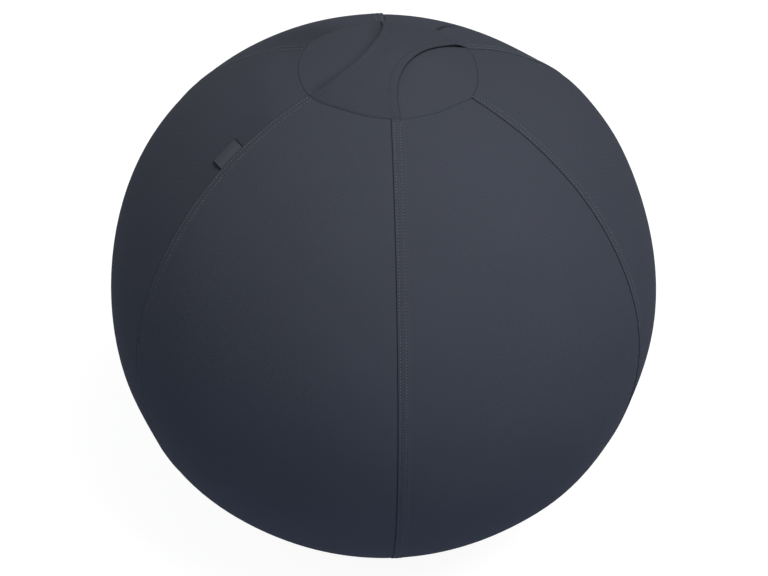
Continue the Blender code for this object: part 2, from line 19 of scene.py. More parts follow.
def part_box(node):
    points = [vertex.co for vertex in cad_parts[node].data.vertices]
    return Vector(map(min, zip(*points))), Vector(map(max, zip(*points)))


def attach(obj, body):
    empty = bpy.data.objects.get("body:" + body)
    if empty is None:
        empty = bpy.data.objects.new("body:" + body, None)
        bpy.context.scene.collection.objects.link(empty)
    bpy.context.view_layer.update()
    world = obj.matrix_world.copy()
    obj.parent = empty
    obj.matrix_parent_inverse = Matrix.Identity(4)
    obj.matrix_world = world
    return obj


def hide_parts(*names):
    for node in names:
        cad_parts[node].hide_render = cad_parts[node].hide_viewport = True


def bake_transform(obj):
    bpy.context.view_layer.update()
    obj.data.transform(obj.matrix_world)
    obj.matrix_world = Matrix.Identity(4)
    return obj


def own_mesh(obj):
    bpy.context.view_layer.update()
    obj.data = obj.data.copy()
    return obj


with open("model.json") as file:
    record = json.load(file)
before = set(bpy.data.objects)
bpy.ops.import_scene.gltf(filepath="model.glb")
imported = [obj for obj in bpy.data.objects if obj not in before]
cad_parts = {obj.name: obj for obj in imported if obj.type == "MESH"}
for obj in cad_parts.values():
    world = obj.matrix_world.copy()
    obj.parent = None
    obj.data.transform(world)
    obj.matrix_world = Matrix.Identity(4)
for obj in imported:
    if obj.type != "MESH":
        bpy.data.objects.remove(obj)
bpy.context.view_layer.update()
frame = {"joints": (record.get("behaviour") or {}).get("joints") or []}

joints = {joint["name"]: joint for joint in frame["joints"]}

# %% [markdown]
# ## The shape of the ball
# Blown up inside six flat-cut panels, the bag is a sphere that stays full on the seams and
# lies a little flatter between them. It could be sculpted, but a formula is better here,
# because the panels, their seams, every stitch and the zip have to agree on one surface.
# A place on it is given by its polar angle from the crown and its azimuth from the front seam.
# A bag of air in a jacket sewn by hand is never quite round, so a short list of soft bulges and
# hollows is laid over the sphere, fading out at the two patches and kept away from the zip.

# %% Sizes of the ball
MM = 0.001
TURN = 2 * math.pi
BALL_RADIUS = 0.325
PANEL_COUNT = 6
PANEL_DIP = 3.3 * MM
FLOOR_FLAT_RADIUS = 0.066
FLOOR_BLEND_RADIUS = 0.120
PATCH_RADIUS = 0.0985
PATCH_CORNER = 2.5 * MM
CENTRE = Vector(joints["zip_travel"]["pos_m"])
CROWN_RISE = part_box("top_patch")[1].z - CENTRE.z
PANEL_ANGLE = TURN / PANEL_COUNT
BLEND_ANGLE = math.asin(FLOOR_FLAT_RADIUS / (BALL_RADIUS - FLOOR_BLEND_RADIUS))
BASE_POLAR = math.pi - BLEND_ANGLE
PATCH_POLAR = math.asin(PATCH_RADIUS / BALL_RADIUS)
print("base seam at", round(math.degrees(BASE_POLAR), 1), "degrees, patch seam at",
      round(math.degrees(PATCH_POLAR), 1))


# %% Soft steps
def ramp(value, low, high):
    """Smooth step from 0 at low to 1 at high."""
    part = np.clip((np.asarray(value) - low) / (high - low), 0, 1)
    return part * part * (3 - 2 * part)


def bump(value, width):
    """A round bump of height 1 about 0."""
    return np.exp(-(np.asarray(value) / width) ** 2)


def plateau(value, start, full, fade, end):
    """1 from full to fade, easing to 0 at start and at end."""
    return ramp(value, start, full) * (1 - ramp(value, fade, end))


print("a ramp in four steps:", np.round(ramp(np.linspace(0, 1, 5), 0, 1), 2))

# %% Bulges and hollows
BULGES = (
    (47, 117, 7, 3.4), (55, 107, 13, 4.4), (101, 65, 13, -2.9), (119, 45, 9, 1.2), (131, 0, 23, -3.5),
    (119, 309, 12, 1.2), (106, 296, 7, -1.4), (60, 252, 24, 3.7), (38, 215, 18, 2.3))
BULGE_FADE = 0.15
DENT_DEPTH = 2.4 * MM
DENT_REACH = 36 * MM
DENT_PLACE = (0.094, 0.038)


def about_axis(out, azimuth, *up):
    """A place at a distance from the ball's axis, an azimuth and, if given, a height."""
    return np.stack([out * np.sin(azimuth), -out * np.cos(azimuth), *up], axis=-1)


def direction(polar, azimuth):
    return about_axis(np.sin(polar), azimuth, np.cos(polar))


def bulge_height(polar, azimuth):
    """Sum of the bulges: each has a polar angle, azimuth and reach in degrees, and a height in mm."""
    height = 0.0
    for *place, reach, rise in BULGES:
        away = np.arccos(np.clip(direction(polar, azimuth) @ direction(*np.radians(place)), -1, 1))
        height = height + rise * MM * bump(away, math.radians(reach))
    ends = np.minimum(polar - PATCH_POLAR, BASE_POLAR - polar)
    return height * ramp(ends, 0, BULGE_FADE)


def panel_dip(polar, azimuth):
    """How far the panels lie under the sphere between their seams."""
    down = np.clip((polar - PATCH_POLAR) / (BASE_POLAR - PATCH_POLAR), 0, 1)
    return PANEL_DIP * np.sin(math.pi * down) ** 2 * np.sin(azimuth * PANEL_COUNT / 2) ** 2


def crown_dent(place):
    """The crown gives way a little beside the strap's right rear corner."""
    aside, behind = (place[..., axis] - DENT_PLACE[axis] for axis in (0, 1))
    return DENT_DEPTH * bump(aside, DENT_REACH) * bump(behind, DENT_REACH)


print("bulges and hollows:", len(BULGES), "and a dent of", DENT_DEPTH, "metres")


# %% Points of the cover
def half_height(polar):
    """From the widest level to the crown, or to a full sphere's foot below it."""
    return np.where(polar < math.pi / 2, CROWN_RISE, BALL_RADIUS)


def cover_normal(polar, azimuth):
    normal = about_axis(np.sin(polar) / BALL_RADIUS, azimuth, np.cos(polar) / half_height(polar))
    return normal / np.linalg.norm(normal, axis=-1, keepdims=True)


def cover_point(polar, azimuth, lift=0.0):
    """Points of the cover, lifted off its outer face."""
    polar, azimuth, lift = np.broadcast_arrays(polar, azimuth, lift)
    height = CENTRE.z + half_height(polar) * np.cos(polar)
    surface = about_axis(BALL_RADIUS * np.sin(polar), azimuth, height)
    dent = crown_dent(surface) * (polar < math.pi / 2)
    lift = lift + bulge_height(polar, azimuth) - panel_dip(polar, azimuth) - dent
    return surface + cover_normal(polar, azimuth) * lift[..., None]


RIM_BUMPS = ((-150, 12, 2.4), (-90, 13, 3.0), (-3, 13, -2.8), (30, 11, 2.9), (56, 6, 2.3))


def patch_radius(azimuth):
    """A circle with a corner at each seam, drawn out of true: azimuth and reach in degrees, mm out."""
    radius = PATCH_RADIUS + PATCH_CORNER * np.cos(PANEL_COUNT * azimuth)
    for place, reach, out in RIM_BUMPS:
        away = np.remainder(azimuth - math.radians(place) + math.pi, TURN) - math.pi
        radius = radius + out * MM * bump(away, math.radians(reach))
    return radius


print("crown at", [round(v, 4) for v in cover_point(0.0, 0.0)], "metres")

# %% [markdown]
# ## From points to meshes
# Cloth is thin but not flat, so each piece of it is a closed skin with an outer face, an inner
# face and a rim. Two kinds of grid cover every piece: a sheet with four edges, and rings of
# points round a middle. Each vertex also keeps its place on the cut cloth, as a UV map named
# grain, and how much its colour is darkened, mostly by painted shade, as an attribute.

# %% Mesh from points
SOFT_EDGE = 60


def build_mesh(name, points, faces, grain, painted_shade_and_tone, sharp=SOFT_EDGE):
    """A mesh whose faces point out, with its place on the cloth and its painted shade."""
    triangles = np.array([(f[0], f[i], f[i + 1]) for f in faces for i in range(1, len(f) - 1)])
    volume = np.linalg.det(points[triangles] - points.mean(axis=0)).sum()
    if volume < 0:
        faces = [face[::-1] for face in faces]
    mesh = bpy.data.meshes.new(name)
    mesh.from_pydata(points.tolist(), [], faces)
    mesh.shade_smooth()
    mesh.set_sharp_from_angle(angle=math.radians(sharp))
    corners = np.empty(len(mesh.loops), np.int32)
    mesh.loops.foreach_get("vertex_index", corners)
    layer = mesh.uv_layers.new(name="grain")
    layer.data.foreach_set("uv", grain[corners].astype(np.float32).ravel())
    depth = mesh.attributes.new("painted_shade_and_tone", "FLOAT", "POINT")
    depth.data.foreach_set("value", painted_shade_and_tone.astype(np.float32).ravel())
    return mesh


def grid_faces(index):
    corners = [index[:-1, :-1], index[:-1, 1:], index[1:, 1:], index[1:, :-1]]
    return np.stack(corners, axis=-1).reshape(-1, 4)


print("a grid of 3 by 4 points has", len(grid_faces(np.arange(12).reshape(3, 4))), "faces")


# %% Sheets and rings
def sheet_mesh(name, outer, inner, grain, painted_shade_and_tone=None):
    """A closed sheet between two matching grids of points."""
    rows, columns = outer.shape[:2]
    count = rows * columns
    index = np.arange(count).reshape(rows, columns)
    rim = np.concatenate([index[0], index[1:, -1], index[-1, -2::-1], index[-2:0:-1, 0]])
    after = np.roll(rim, -1)
    sides = np.stack([after, rim, rim + count, after + count], axis=-1)
    faces = np.concatenate([grid_faces(index), grid_faces(index)[:, ::-1] + count, sides])
    points = np.concatenate([outer.reshape(-1, 3), inner.reshape(-1, 3)])
    grain = np.tile(grain.reshape(-1, 2), (2, 1))
    depth = np.zeros((rows, columns)) if painted_shade_and_tone is None else painted_shade_and_tone
    depth = np.concatenate([depth.ravel(), np.zeros(count)])
    return build_mesh(name, points, faces.tolist(), grain, depth)


def ring_mesh(name, rings, start=None, end=None, painted_shade_and_tone=None, sharp=SOFT_EDGE):
    """A closed skin over rings of points, between two poles or round to the first ring again."""
    count, sides = rings.shape[:2]
    index = np.arange(count * sides).reshape(count, sides)
    index = np.concatenate([index, index[:, :1]], axis=1)
    if start is None:
        index = np.concatenate([index, index[:1]])
    faces = grid_faces(index).tolist()
    points = rings.reshape(-1, 3)
    depth = np.zeros(len(points)) if painted_shade_and_tone is None else painted_shade_and_tone.ravel()
    if start is not None:
        first, last = len(points), len(points) + 1
        faces += [(first, b, a) for a, b in zip(index[0, 1:].tolist(), index[0, :-1].tolist())]
        faces += [(last, b, a) for a, b in zip(index[-1, :-1].tolist(), index[-1, 1:].tolist())]
        points = np.concatenate([points, [start, end]])
        depth = np.concatenate([depth, [0, 0]])
    return build_mesh(name, points, faces, points[:, :2], depth, sharp)


def turned_rings(profile, sides):
    """Rings about the Z axis through (radius, height) points."""
    angles = np.linspace(0, TURN, sides, endpoint=False)
    profile = np.array(profile)
    out = profile[:, :1]
    rise = np.repeat(profile[:, 1:], sides, axis=1)
    return np.stack([out * np.cos(angles), out * np.sin(angles), rise], axis=-1)


# %% [markdown]
# ## Node helpers
# Materials are wired by hand, so a few small helpers keep the wiring readable: one joins a value
# or a socket to an input, one adds a node with its inputs, and the others do a sum on two values,
# mix two colours, start a group with named sockets and place it.

# %% Node helpers
def feed(tree, target, source):
    """Joins a socket to an input, or sets the input to a plain value."""
    if isinstance(source, bpy.types.NodeSocket):
        tree.links.new(source, target)
    else:
        target.default_value = source


def add_node(tree, kind, inputs=None, **settings):
    """A node with its settings, and with the inputs that are given by name or number."""
    node = tree.nodes.new(kind)
    for setting, value in settings.items():
        setattr(node, setting, value)
    for label, source in (inputs or {}).items():
        feed(tree, node.inputs[label], source)
    return node


def sum_of(tree, operation, first, second=0.0):
    return add_node(tree, "ShaderNodeMath", {0: first, 1: second}, operation=operation).outputs[0]


def mixed(tree, part, first, second, blend="MIX"):
    """Two colours mixed by a share."""
    node = add_node(tree, "ShaderNodeMix", data_type="RGBA", blend_type=blend)
    sockets = {socket.identifier: socket for socket in [*node.inputs, *node.outputs]}
    for name, source in (("Factor_Float", part), ("A_Color", first), ("B_Color", second)):
        feed(tree, sockets[name], source)
    return sockets["Result_Color"]


# %% Groups and materials
SOCKETS = {"vector": "NodeSocketVector", "number": "NodeSocketFloat", "colour": "NodeSocketColor",
           "whole": "NodeSocketInt", "material": "NodeSocketMaterial", "geometry": "NodeSocketGeometry"}


def new_group(name, inputs, outputs, family="ShaderNodeTree"):
    """A group with named sockets, and the sockets at its two ends."""
    tree = bpy.data.node_groups.new(name, family)
    for way, sockets in (("INPUT", inputs), ("OUTPUT", outputs)):
        for label, kind in sockets.items():
            tree.interface.new_socket(label, in_out=way, socket_type=SOCKETS[kind])
    return tree, add_node(tree, "NodeGroupInput").outputs, add_node(tree, "NodeGroupOutput").inputs


def use_group(tree, group, **values):
    return add_node(tree, "ShaderNodeGroup", values, node_tree=group).outputs


def new_material(name, sockets):
    """A material with its uniform values on the shader's own sockets."""
    made = bpy.data.materials.new(name)
    made.use_nodes = True
    shader = made.node_tree.nodes["Principled BSDF"].inputs
    for label, value in sockets.items():
        shader[label].default_value = value
    return made, made.node_tree, shader


def raise_surface(tree, shader, height, distance, strength):
    inputs = {"Height": height, "Distance": distance, "Strength": strength}
    relief = add_node(tree, "ShaderNodeBump", inputs)
    feed(tree, shader["Normal"], relief.outputs["Normal"])


print("kinds of sockets:", *SOCKETS)

# %% [markdown]
# ## Weave and tone, shared by all the cloth
# The cover is a matt stretch knit whose loops make a fine diamond pattern. The label, the zip
# tapes and the lining are other cloths of the same kind, so one group of nodes draws them all:
# two slanted sine waves that cross on the cloth's own grain, broken up by a little noise.
# A second group lets a tone drift slowly over a piece, as dye and handling do.

# %% Shared shader groups
FUZZ_PER_RIB = 0.6
FUZZ_SCALE = 5.0
FUZZ_DETAIL = 2.0
YARN_HEIGHT = 0.25
TONE_DETAIL = 4.0


def noise(tree, place, scale, detail, **settings):
    """A noise pattern at a place, from 0 to 1."""
    inputs = {"Vector": place, "Scale": scale, "Detail": detail}
    return add_node(tree, "ShaderNodeTexNoise", inputs, **settings).outputs["Fac"]


def swing(tree, share, amount):
    """A value that swings about 0, from a share between 0 and 1."""
    return sum_of(tree, "MULTIPLY", sum_of(tree, "SUBTRACT", share, 0.5), amount)


def wave(tree, turns):
    return sum_of(tree, "SINE", sum_of(tree, "MULTIPLY", turns, TURN))


def make_weave_group():
    tree, given, made = new_group(
        "weave",
        {"Grain": "vector", "Ribs": "number", "Slant": "number", "Cross": "number", "Uneven": "number",
         "Furrow": "colour", "Rib": "colour"},
        {"Color": "colour", "Height": "number"},
    )
    place = add_node(tree, "ShaderNodeSeparateXYZ", {0: given["Grain"]}).outputs
    across = sum_of(tree, "MULTIPLY", place["X"], given["Ribs"])
    along = sum_of(tree, "MULTIPLY", place["Y"], given["Ribs"])
    slanted = sum_of(tree, "MULTIPLY", along, given["Slant"])
    rib = wave(tree, sum_of(tree, "ADD", across, slanted))
    crossing = wave(tree, sum_of(tree, "SUBTRACT", slanted, across))
    fine = sum_of(tree, "MULTIPLY", given["Ribs"], FUZZ_PER_RIB)
    spread = add_node(tree, "ShaderNodeVectorMath", {0: given["Grain"], "Scale": fine}, operation="SCALE")
    fibres = noise(tree, spread.outputs[0], FUZZ_SCALE, FUZZ_DETAIL, noise_dimensions="2D")
    fuzz = swing(tree, fibres, given["Uneven"])
    yarn = sum_of(tree, "ADD", rib, sum_of(tree, "MULTIPLY", crossing, given["Cross"]))
    loops = sum_of(tree, "ADD", sum_of(tree, "MULTIPLY", yarn, YARN_HEIGHT), 0.5)
    height = sum_of(tree, "ADD", loops, fuzz)
    feed(tree, made["Color"], mixed(tree, height, given["Furrow"], given["Rib"]))
    feed(tree, made["Height"], height)
    return tree


def make_tone_group():
    tree, given, made = new_group(
        "slow_tone",
        {"Color": "colour", "Place": "vector", "Scale": "number", "Amount": "number"},
        {"Color": "colour", "Drift": "number"},
    )
    drift = noise(tree, given["Place"], given["Scale"], TONE_DETAIL)
    level = sum_of(tree, "ADD", swing(tree, drift, given["Amount"]), 1.0)
    grey = add_node(tree, "ShaderNodeCombineColor", {channel: level for channel in range(3)})
    feed(tree, made["Color"], mixed(tree, 1.0, given["Color"], grey.outputs[0], "MULTIPLY"))
    feed(tree, made["Drift"], drift)
    return tree


weave_group = make_weave_group()
tone_group = make_tone_group()
print("shader groups:", weave_group.name, "and", tone_group.name)

# %% [markdown]
# ## The finishes
# The slate cloth is nearly black-blue and very matt, with a little sheen from its fibres where
# it turns away. Shade is painted into its colour: an attribute darkens it in the seams, along
# the crease, on the slack cloth and beside the strap.
# The thread is a shade lighter than the cloth. Plastics and metal get fine moulding grain and
# scuffs, because a single flat tone never looks like a thing that someone made.

# %% Cloth finishes
def colour(red, green, blue):
    return (red, green, blue, 1.0)


# Painted shade darkens the cloth towards this near black.
PAINTED_SHADE_COLOUR = colour(0.006, 0.007, 0.009)
MATT_CLOTH = {"Roughness": 0.95, "Specular IOR Level": 0.02, "Sheen Weight": 0.02, "Sheen Roughness": 0.5}
CLOTH_TONE = {"Scale": 7.0, "Amount": 0.16}
CLOTH_BUMP = 0.6
CLOTHS = {
    "slate_cloth": (0.20 * MM, {
        "Ribs": 417, "Slant": 1.0, "Cross": 1.0, "Uneven": 0.4,
        "Furrow": colour(0.045, 0.048, 0.061), "Rib": colour(0.083, 0.091, 0.115)}),
    "lining_cloth": (0.20 * MM, {
        "Ribs": 500, "Slant": 0.6, "Cross": 1.0, "Uneven": 0.5,
        "Furrow": colour(0.036, 0.038, 0.045), "Rib": colour(0.054, 0.058, 0.067)}),
    "label_weave": (0.15 * MM, {
        "Ribs": 1100, "Slant": 0.25, "Cross": 0.3, "Uneven": 0.5,
        "Furrow": colour(0.056, 0.061, 0.072), "Rib": colour(0.098, 0.105, 0.122)}),
    "zip_tape": (0.20 * MM, {
        "Ribs": 900, "Slant": 0.8, "Cross": 0.4, "Uneven": 0.5,
        "Furrow": colour(0.022, 0.024, 0.031), "Rib": colour(0.038, 0.042, 0.053)}),
}


def ball_place(tree):
    return add_node(tree, "ShaderNodeTexCoord").outputs["Object"]


def make_cloth(name, relief, weave):
    """A cloth with its weave, slow tone, painted shade and fine relief."""
    made, tree, shader = new_material(name, MATT_CLOTH)
    grain = add_node(tree, "ShaderNodeUVMap", uv_map="grain").outputs["UV"]
    cloth = use_group(tree, weave_group, Grain=grain, **weave)
    toned = use_group(tree, tone_group, Color=cloth["Color"], Place=ball_place(tree), **CLOTH_TONE)
    # The painted shade from the mesh's attribute darkens the colour.
    depth = add_node(tree, "ShaderNodeAttribute", attribute_name="painted_shade_and_tone").outputs["Fac"]
    feed(tree, shader["Base Color"], mixed(tree, depth, toned["Color"], PAINTED_SHADE_COLOUR))
    raise_surface(tree, shader, cloth["Height"], relief, CLOTH_BUMP)
    return made


finishes = {name: make_cloth(name, *look) for name, look in CLOTHS.items()}
print("cloth finishes:", *finishes)

# %% Thread, plastic, metal and vinyl finishes
# Each has a colour, a roughness, the scale and amount of its slow tone, the scale of its grain
# and that grain's height in mm, and sockets of its own.
SOLIDS = {
    "thread": (colour(0.118, 0.126, 0.150), 0.75, 260, 0.7, 1500, 0.20, {}),
    # Near black, for the beads of painted shade in the needle holes.
    "seam_thread": (colour(0.016, 0.017, 0.021), 0.85, 260, 0.5, 1500, 0.20, {}),
    "zip_plastic": (colour(0.020, 0.022, 0.027), 0.42, 180, 0.5, 900, 0.10, {}),
    "zip_metal": (colour(0.080, 0.083, 0.090), 0.36, 150, 0.8, 700, 0.05, {"Metallic": 0.85}),
    "bladder_vinyl": (colour(0.110, 0.115, 0.125), 0.48, 14, 0.25, 420, 0.30, {"Coat Weight": 0.15}),
    "plug_plastic": (colour(0.700, 0.700, 0.680), 0.42, 90, 0.15, 600, 0.10, {}),
    "ring_rubber": (colour(0.020, 0.020, 0.022), 0.72, 60, 0.5, 500, 0.30, {}),
}
GLOSS_SWING = 0.3
GRAIN_DETAIL = 3.0
SOLID_BUMP = 0.5


def make_solid_finish(name, tone, roughness, tone_scale, tone_amount, grain_scale, grain_height, sockets):
    """A moulded, spun or cast surface with slow tone, fine grain and uneven gloss."""
    made, tree, shader = new_material(name, {"Roughness": roughness, **sockets})
    place = ball_place(tree)
    toned = use_group(tree, tone_group, Color=tone, Place=place, Scale=tone_scale, Amount=tone_amount)
    feed(tree, shader["Base Color"], toned["Color"])
    gloss = swing(tree, toned["Drift"], GLOSS_SWING)
    feed(tree, shader["Roughness"], sum_of(tree, "ADD", gloss, roughness))
    grain = noise(tree, place, grain_scale, GRAIN_DETAIL)
    raise_surface(tree, shader, grain, grain_height * MM, SOLID_BUMP)
    return made


finishes.update({name: make_solid_finish(name, *look) for name, look in SOLIDS.items()})
print("solid finishes:", *SOLIDS)


# %% Pieces
def add_piece(mesh, material):
    """The mesh as an object of the same name, in one finish."""
    mesh.materials.append(material)
    piece = bpy.data.objects.new(mesh.name, mesh)
    bpy.context.scene.collection.objects.link(piece)
    return piece


def stand_for(piece, body, slot, *cad_nodes):
    """The piece moves with a body and shows in place of solid nodes."""
    if cad_nodes:
        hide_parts(*cad_nodes)
    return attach(piece, body)


def add_cover_piece(mesh, slot, *cad_nodes):
    """A piece in its slot's own finish that stays with the cover."""
    return stand_for(add_piece(mesh, finishes[slot]), "cover", slot, *cad_nodes)


# %% [markdown]
# ## The six cover panels
# Each seam of the real cover is a lapped seam: the edge of one panel is folded under, laid over
# its neighbour and stitched down twice. That makes a soft raised band, one finger wide, with a
# dark line along its fold. A displacement on a plain sphere would smear those lines, so each
# panel is a grid of its own whose columns crowd together over the band and whose rows crowd
# together at the patch seams. One function says how high the cloth lies at any distance from
# its edges, and the stitches use it again.

# %% Height of a lapped seam
LAP_RISE = 0.55 * MM
LAP_EDGE = (10 * MM, 14 * MM)
FOLD_ROUND = 0.8 * MM
FOLD_DEPTH = 0.25 * MM
STITCH_ROWS = (2.9 * MM, 9.2 * MM)
STITCH_SINK = 0.32 * MM
STITCH_GROOVE = 0.75 * MM
TUCK_DEPTH = 0.45 * MM
TUCK_REACH = 1.2 * MM
TUCK_UNDER = 1 * MM


def lap_band(across):
    return LAP_RISE * (1 - ramp(across, *LAP_EDGE))


def lap_height(across):
    """The stitched-down band: a rounded fold, two sunken stitch rows and a soft outer edge."""
    turn = 1 - np.clip(across / FOLD_ROUND, 0, 1)
    fold = (LAP_RISE + FOLD_DEPTH) * (1 - np.sqrt(1 - turn**2))
    rows = sum(bump(across - row, STITCH_GROOVE) for row in STITCH_ROWS)
    return lap_band(across) - fold - STITCH_SINK * rows


def tuck_height(across):
    """The other edge of a panel, which dives under its neighbour's fold."""
    return -TUCK_DEPTH * np.exp(-np.clip(across, -TUCK_UNDER, None) / TUCK_REACH)


lap_spots = np.array([0, *STITCH_ROWS, LAP_EDGE[1]])
print("height in mm at the fold, at both stitch rows and beyond:", np.round(lap_height(lap_spots) / MM, 2))

# %% Height of a plain seam and of gathers
SEAM_ROLL = 0.4 * MM
SEAM_REACH = 0.8 * MM
SEAM_RIDGE = 0.22 * MM
RIDGE_PLACE = 2 * MM
RIDGE_REACH = 1 * MM
PUCKER = 0.10 * MM
PUCKER_REACH = 16 * MM
PUCKER_LENGTHS = (13, 19, 31)
PUCKER_SHIFT = 7 * MM


def roll_height(across):
    """A plain seam, where both pieces turn inwards behind a low ridge."""
    return SEAM_RIDGE * bump(across - RIDGE_PLACE, RIDGE_REACH) - SEAM_ROLL * bump(across, SEAM_REACH)


def puckers(along, across):
    """Small gathers, of a few lengths in mm, that the stitching pulls into the cloth beside it."""
    waves = sum(np.sin(TURN * along / (length * MM) + length) for length in PUCKER_LENGTHS)
    return PUCKER * waves / len(PUCKER_LENGTHS) * np.exp(-np.abs(across) / PUCKER_REACH)


def panel_height(near, far, ends, along):
    edges = puckers(along, near) + puckers(along + PUCKER_SHIFT, far)
    return lap_height(near) + tuck_height(far) + roll_height(ends) + edges


print("a plain seam turns in by", round(float(-roll_height(0) / MM), 2), "mm")

# %% Painted shade near a seam
FOLD_SHADES = (0.55, 0.45, 0.15, 0.55, 0.55, 0.55)
FOLD_LINE = 0.4 * MM
TUCK_LINE = 0.8 * MM
ROW_SHADE = 0.15
ROW_LINE = 0.6 * MM
SEAM_SHADE = 0.22
SEAM_LINE = 0.8 * MM


def seam_shade(near, far, ends, number):
    """Painted shade: along the fold line, at the needle holes of the stitch rows and in the plain seams."""
    fold = FOLD_SHADES[number] * bump(near, FOLD_LINE)
    tuck = FOLD_SHADES[(number + 1) % PANEL_COUNT] * bump(far, TUCK_LINE)
    rows = sum(bump(near - row, ROW_LINE) for row in STITCH_ROWS)
    return np.clip(fold + tuck + ROW_SHADE * rows + SEAM_SHADE * bump(ends, SEAM_LINE), 0, 1)


print("dark fold lines, seam by seam:", FOLD_SHADES)

# %% Seams and the gap for the zip
ZIP_LENGTH = 0.320
ZIP_FOOT = 0.024
ZIP_SLOT = 0.018
ZIP_END_TAPER = 0.010
ZIP_END = BASE_POLAR - ZIP_FOOT / BALL_RADIUS
ZIP_TOP = ZIP_END - ZIP_LENGTH / BALL_RADIUS
ZIP_SEAM = PANEL_COUNT // 2
DRIFT_POLARS = np.radians([18, 30, 45, 75, 130])
SEAM_DRIFT = {0: (-0.7, -0.35, -0.1, 0.25, 0.9), 1: (-3.4, -1.8, -0.8, 0, 0), 2: (-3.3, -2.8, -0.3, 0, 0)}


def seam_azimuth(seam, polar):
    """The seams are evenly spaced, but three of them run a few degrees aside at the crown."""
    drift = np.interp(polar, DRIFT_POLARS, SEAM_DRIFT.get(seam % PANEL_COUNT, 0 * DRIFT_POLARS))
    return seam * PANEL_ANGLE + np.radians(drift)


def zip_gap(polar, seam):
    """Half the gap that the zip needs between two panels."""
    inside = np.minimum(polar - ZIP_TOP, ZIP_END - polar) * BALL_RADIUS
    return (seam == ZIP_SEAM) * ZIP_SLOT / 2 * ramp(inside, 0, ZIP_END_TAPER)


print("zip gap from", round(math.degrees(ZIP_TOP), 1), "to", round(math.degrees(ZIP_END), 1), "degrees")

# %% [markdown]
# The cover was pulled on by hand, so it does not lie perfectly smooth. A bent crease runs down
# from the patch seam in the panel at the back right, and the panel at the back left lies slack
# behind its seam. Both are part of the panels' height, and the creased panel gets more columns.
# Both also get painted shade: a dark line along the crease and a darker stretch on the slack
# cloth. The panel on the left gets painted shade beside its far seam.

# %% Crease and slack cloth
CREASE_PANEL = 2
CREASE_AZIMUTH = math.radians(145.4)
CREASE_BEND = math.radians(2.6)
CREASE_BEND_LENGTH = 85 * MM
CREASE_DEPTH = 1.6 * MM
CREASE_SIDES = (4.2 * MM, 1.5 * MM)
CREASE_STRETCH = np.array([0, 9, 60, 105]) * MM
# Painted shade: a dark line along the crease, and a darker stretch on the slack cloth.
CREASE_SHADE = 0.65
CREASE_COLUMNS = np.linspace(0.402, 0.588, 30)
SLACK_AZIMUTH = math.radians(225)
SLACK_DEPTH = 1.5 * MM
SLACK_REACH = 33 * MM
SLACK_EDGE = 4 * MM
SLACK_FADE = (30 * MM, 140 * MM)
SLACK_SHADE = 0.26
SLACK_SHADE_EDGE = 1 * MM


def crease_share(azimuth, around, from_top):
    """How deep a place lies in the crease, from 0 to 1. Its left side is the gentler one."""
    line = CREASE_AZIMUTH + CREASE_BEND * np.sin(math.pi * from_top / CREASE_BEND_LENGTH)
    across = (azimuth - line) * around
    return bump(across, np.where(across < 0, *CREASE_SIDES)) * plateau(from_top, *CREASE_STRETCH)


def slack_share(azimuth, around, from_top, edge):
    """How slack the cloth lies, from 0 to 1, growing over the width of an edge at the patch seam."""
    across = (azimuth - SLACK_AZIMUTH) * around
    return bump(across, SLACK_REACH) * plateau(from_top, 0, edge, *SLACK_FADE)


print("crease at azimuth", round(math.degrees(CREASE_AZIMUTH), 1), "slack cloth at",
      round(math.degrees(SLACK_AZIMUTH), 1), "degrees")

# %% Painted shade on the left panel and the raised rear band
# Painted shade on one panel, beside its far seam.
PAINTED_SIDE_PANEL = 4
PAINTED_SIDE_SHADE = 0.17
PAINTED_SIDE_REACH = 70 * MM
PAINTED_SIDE_STRETCH = np.array([20, 70, 150, 300]) * MM
RIDE_RISE = 1.3 * MM
RIDE_REACH = 24 * MM
RIDE_LAP = 0.6
RIDE_STRETCH = (PATCH_POLAR, *np.radians([26, 35, 62]))


def painted_side_shade(number, far, from_top):
    """Painted shade on the left panel, darkest beside its far seam."""
    fade = np.exp(-np.clip(far, 0, None) / PAINTED_SIDE_REACH)
    return (number == PAINTED_SIDE_PANEL) * PAINTED_SIDE_SHADE * plateau(from_top, *PAINTED_SIDE_STRETCH) * fade


def ride_share(seam, polar):
    """Where the upper panel rides up on its neighbour: at the rear seam, close to the crown."""
    return (seam == ZIP_SEAM) * plateau(polar, *RIDE_STRETCH)


def ride_height(seam, across, polar):
    """A long slope that takes up most of the lap's own step."""
    slope = RIDE_RISE * np.exp(-np.clip(across, 0, None) / RIDE_REACH)
    return ride_share(seam, polar) * (slope - RIDE_LAP * lap_band(across))


# The panel printed last is the one with painted shade beside its far seam.
print("rear band raised by up to", RIDE_RISE, "metres, knit turned on panel", PAINTED_SIDE_PANEL + 1)

# %% Rows and columns of a panel
CLOTH = 1.2 * MM
EDGE_STEPS = np.array([0, 0.35, 0.7, 1.1, 1.6, 2.3, 3.3, 5, 8, 12]) * MM
LAP_STEPS = np.array([
    0, 0.15, 0.35, 0.6, 0.9, 1.4, 1.9, 2.3, 2.6, 2.9, 3.2, 3.5, 4, 5, 6.1, 7.2, 8.1, 8.6,
    8.9, 9.2, 9.5, 9.8, 10.4, 11, 11.6, 12.2, 12.8, 13.5, 15, 18]) * MM
TUCK_STEPS = np.array([18, 14, 10, 7, 5, 3.6, 2.6, 1.8, 1.2, 0.7, 0.3, 0, -0.5, -0.9]) * MM
PANEL_ROWS = 220
PANEL_COLUMNS = 26


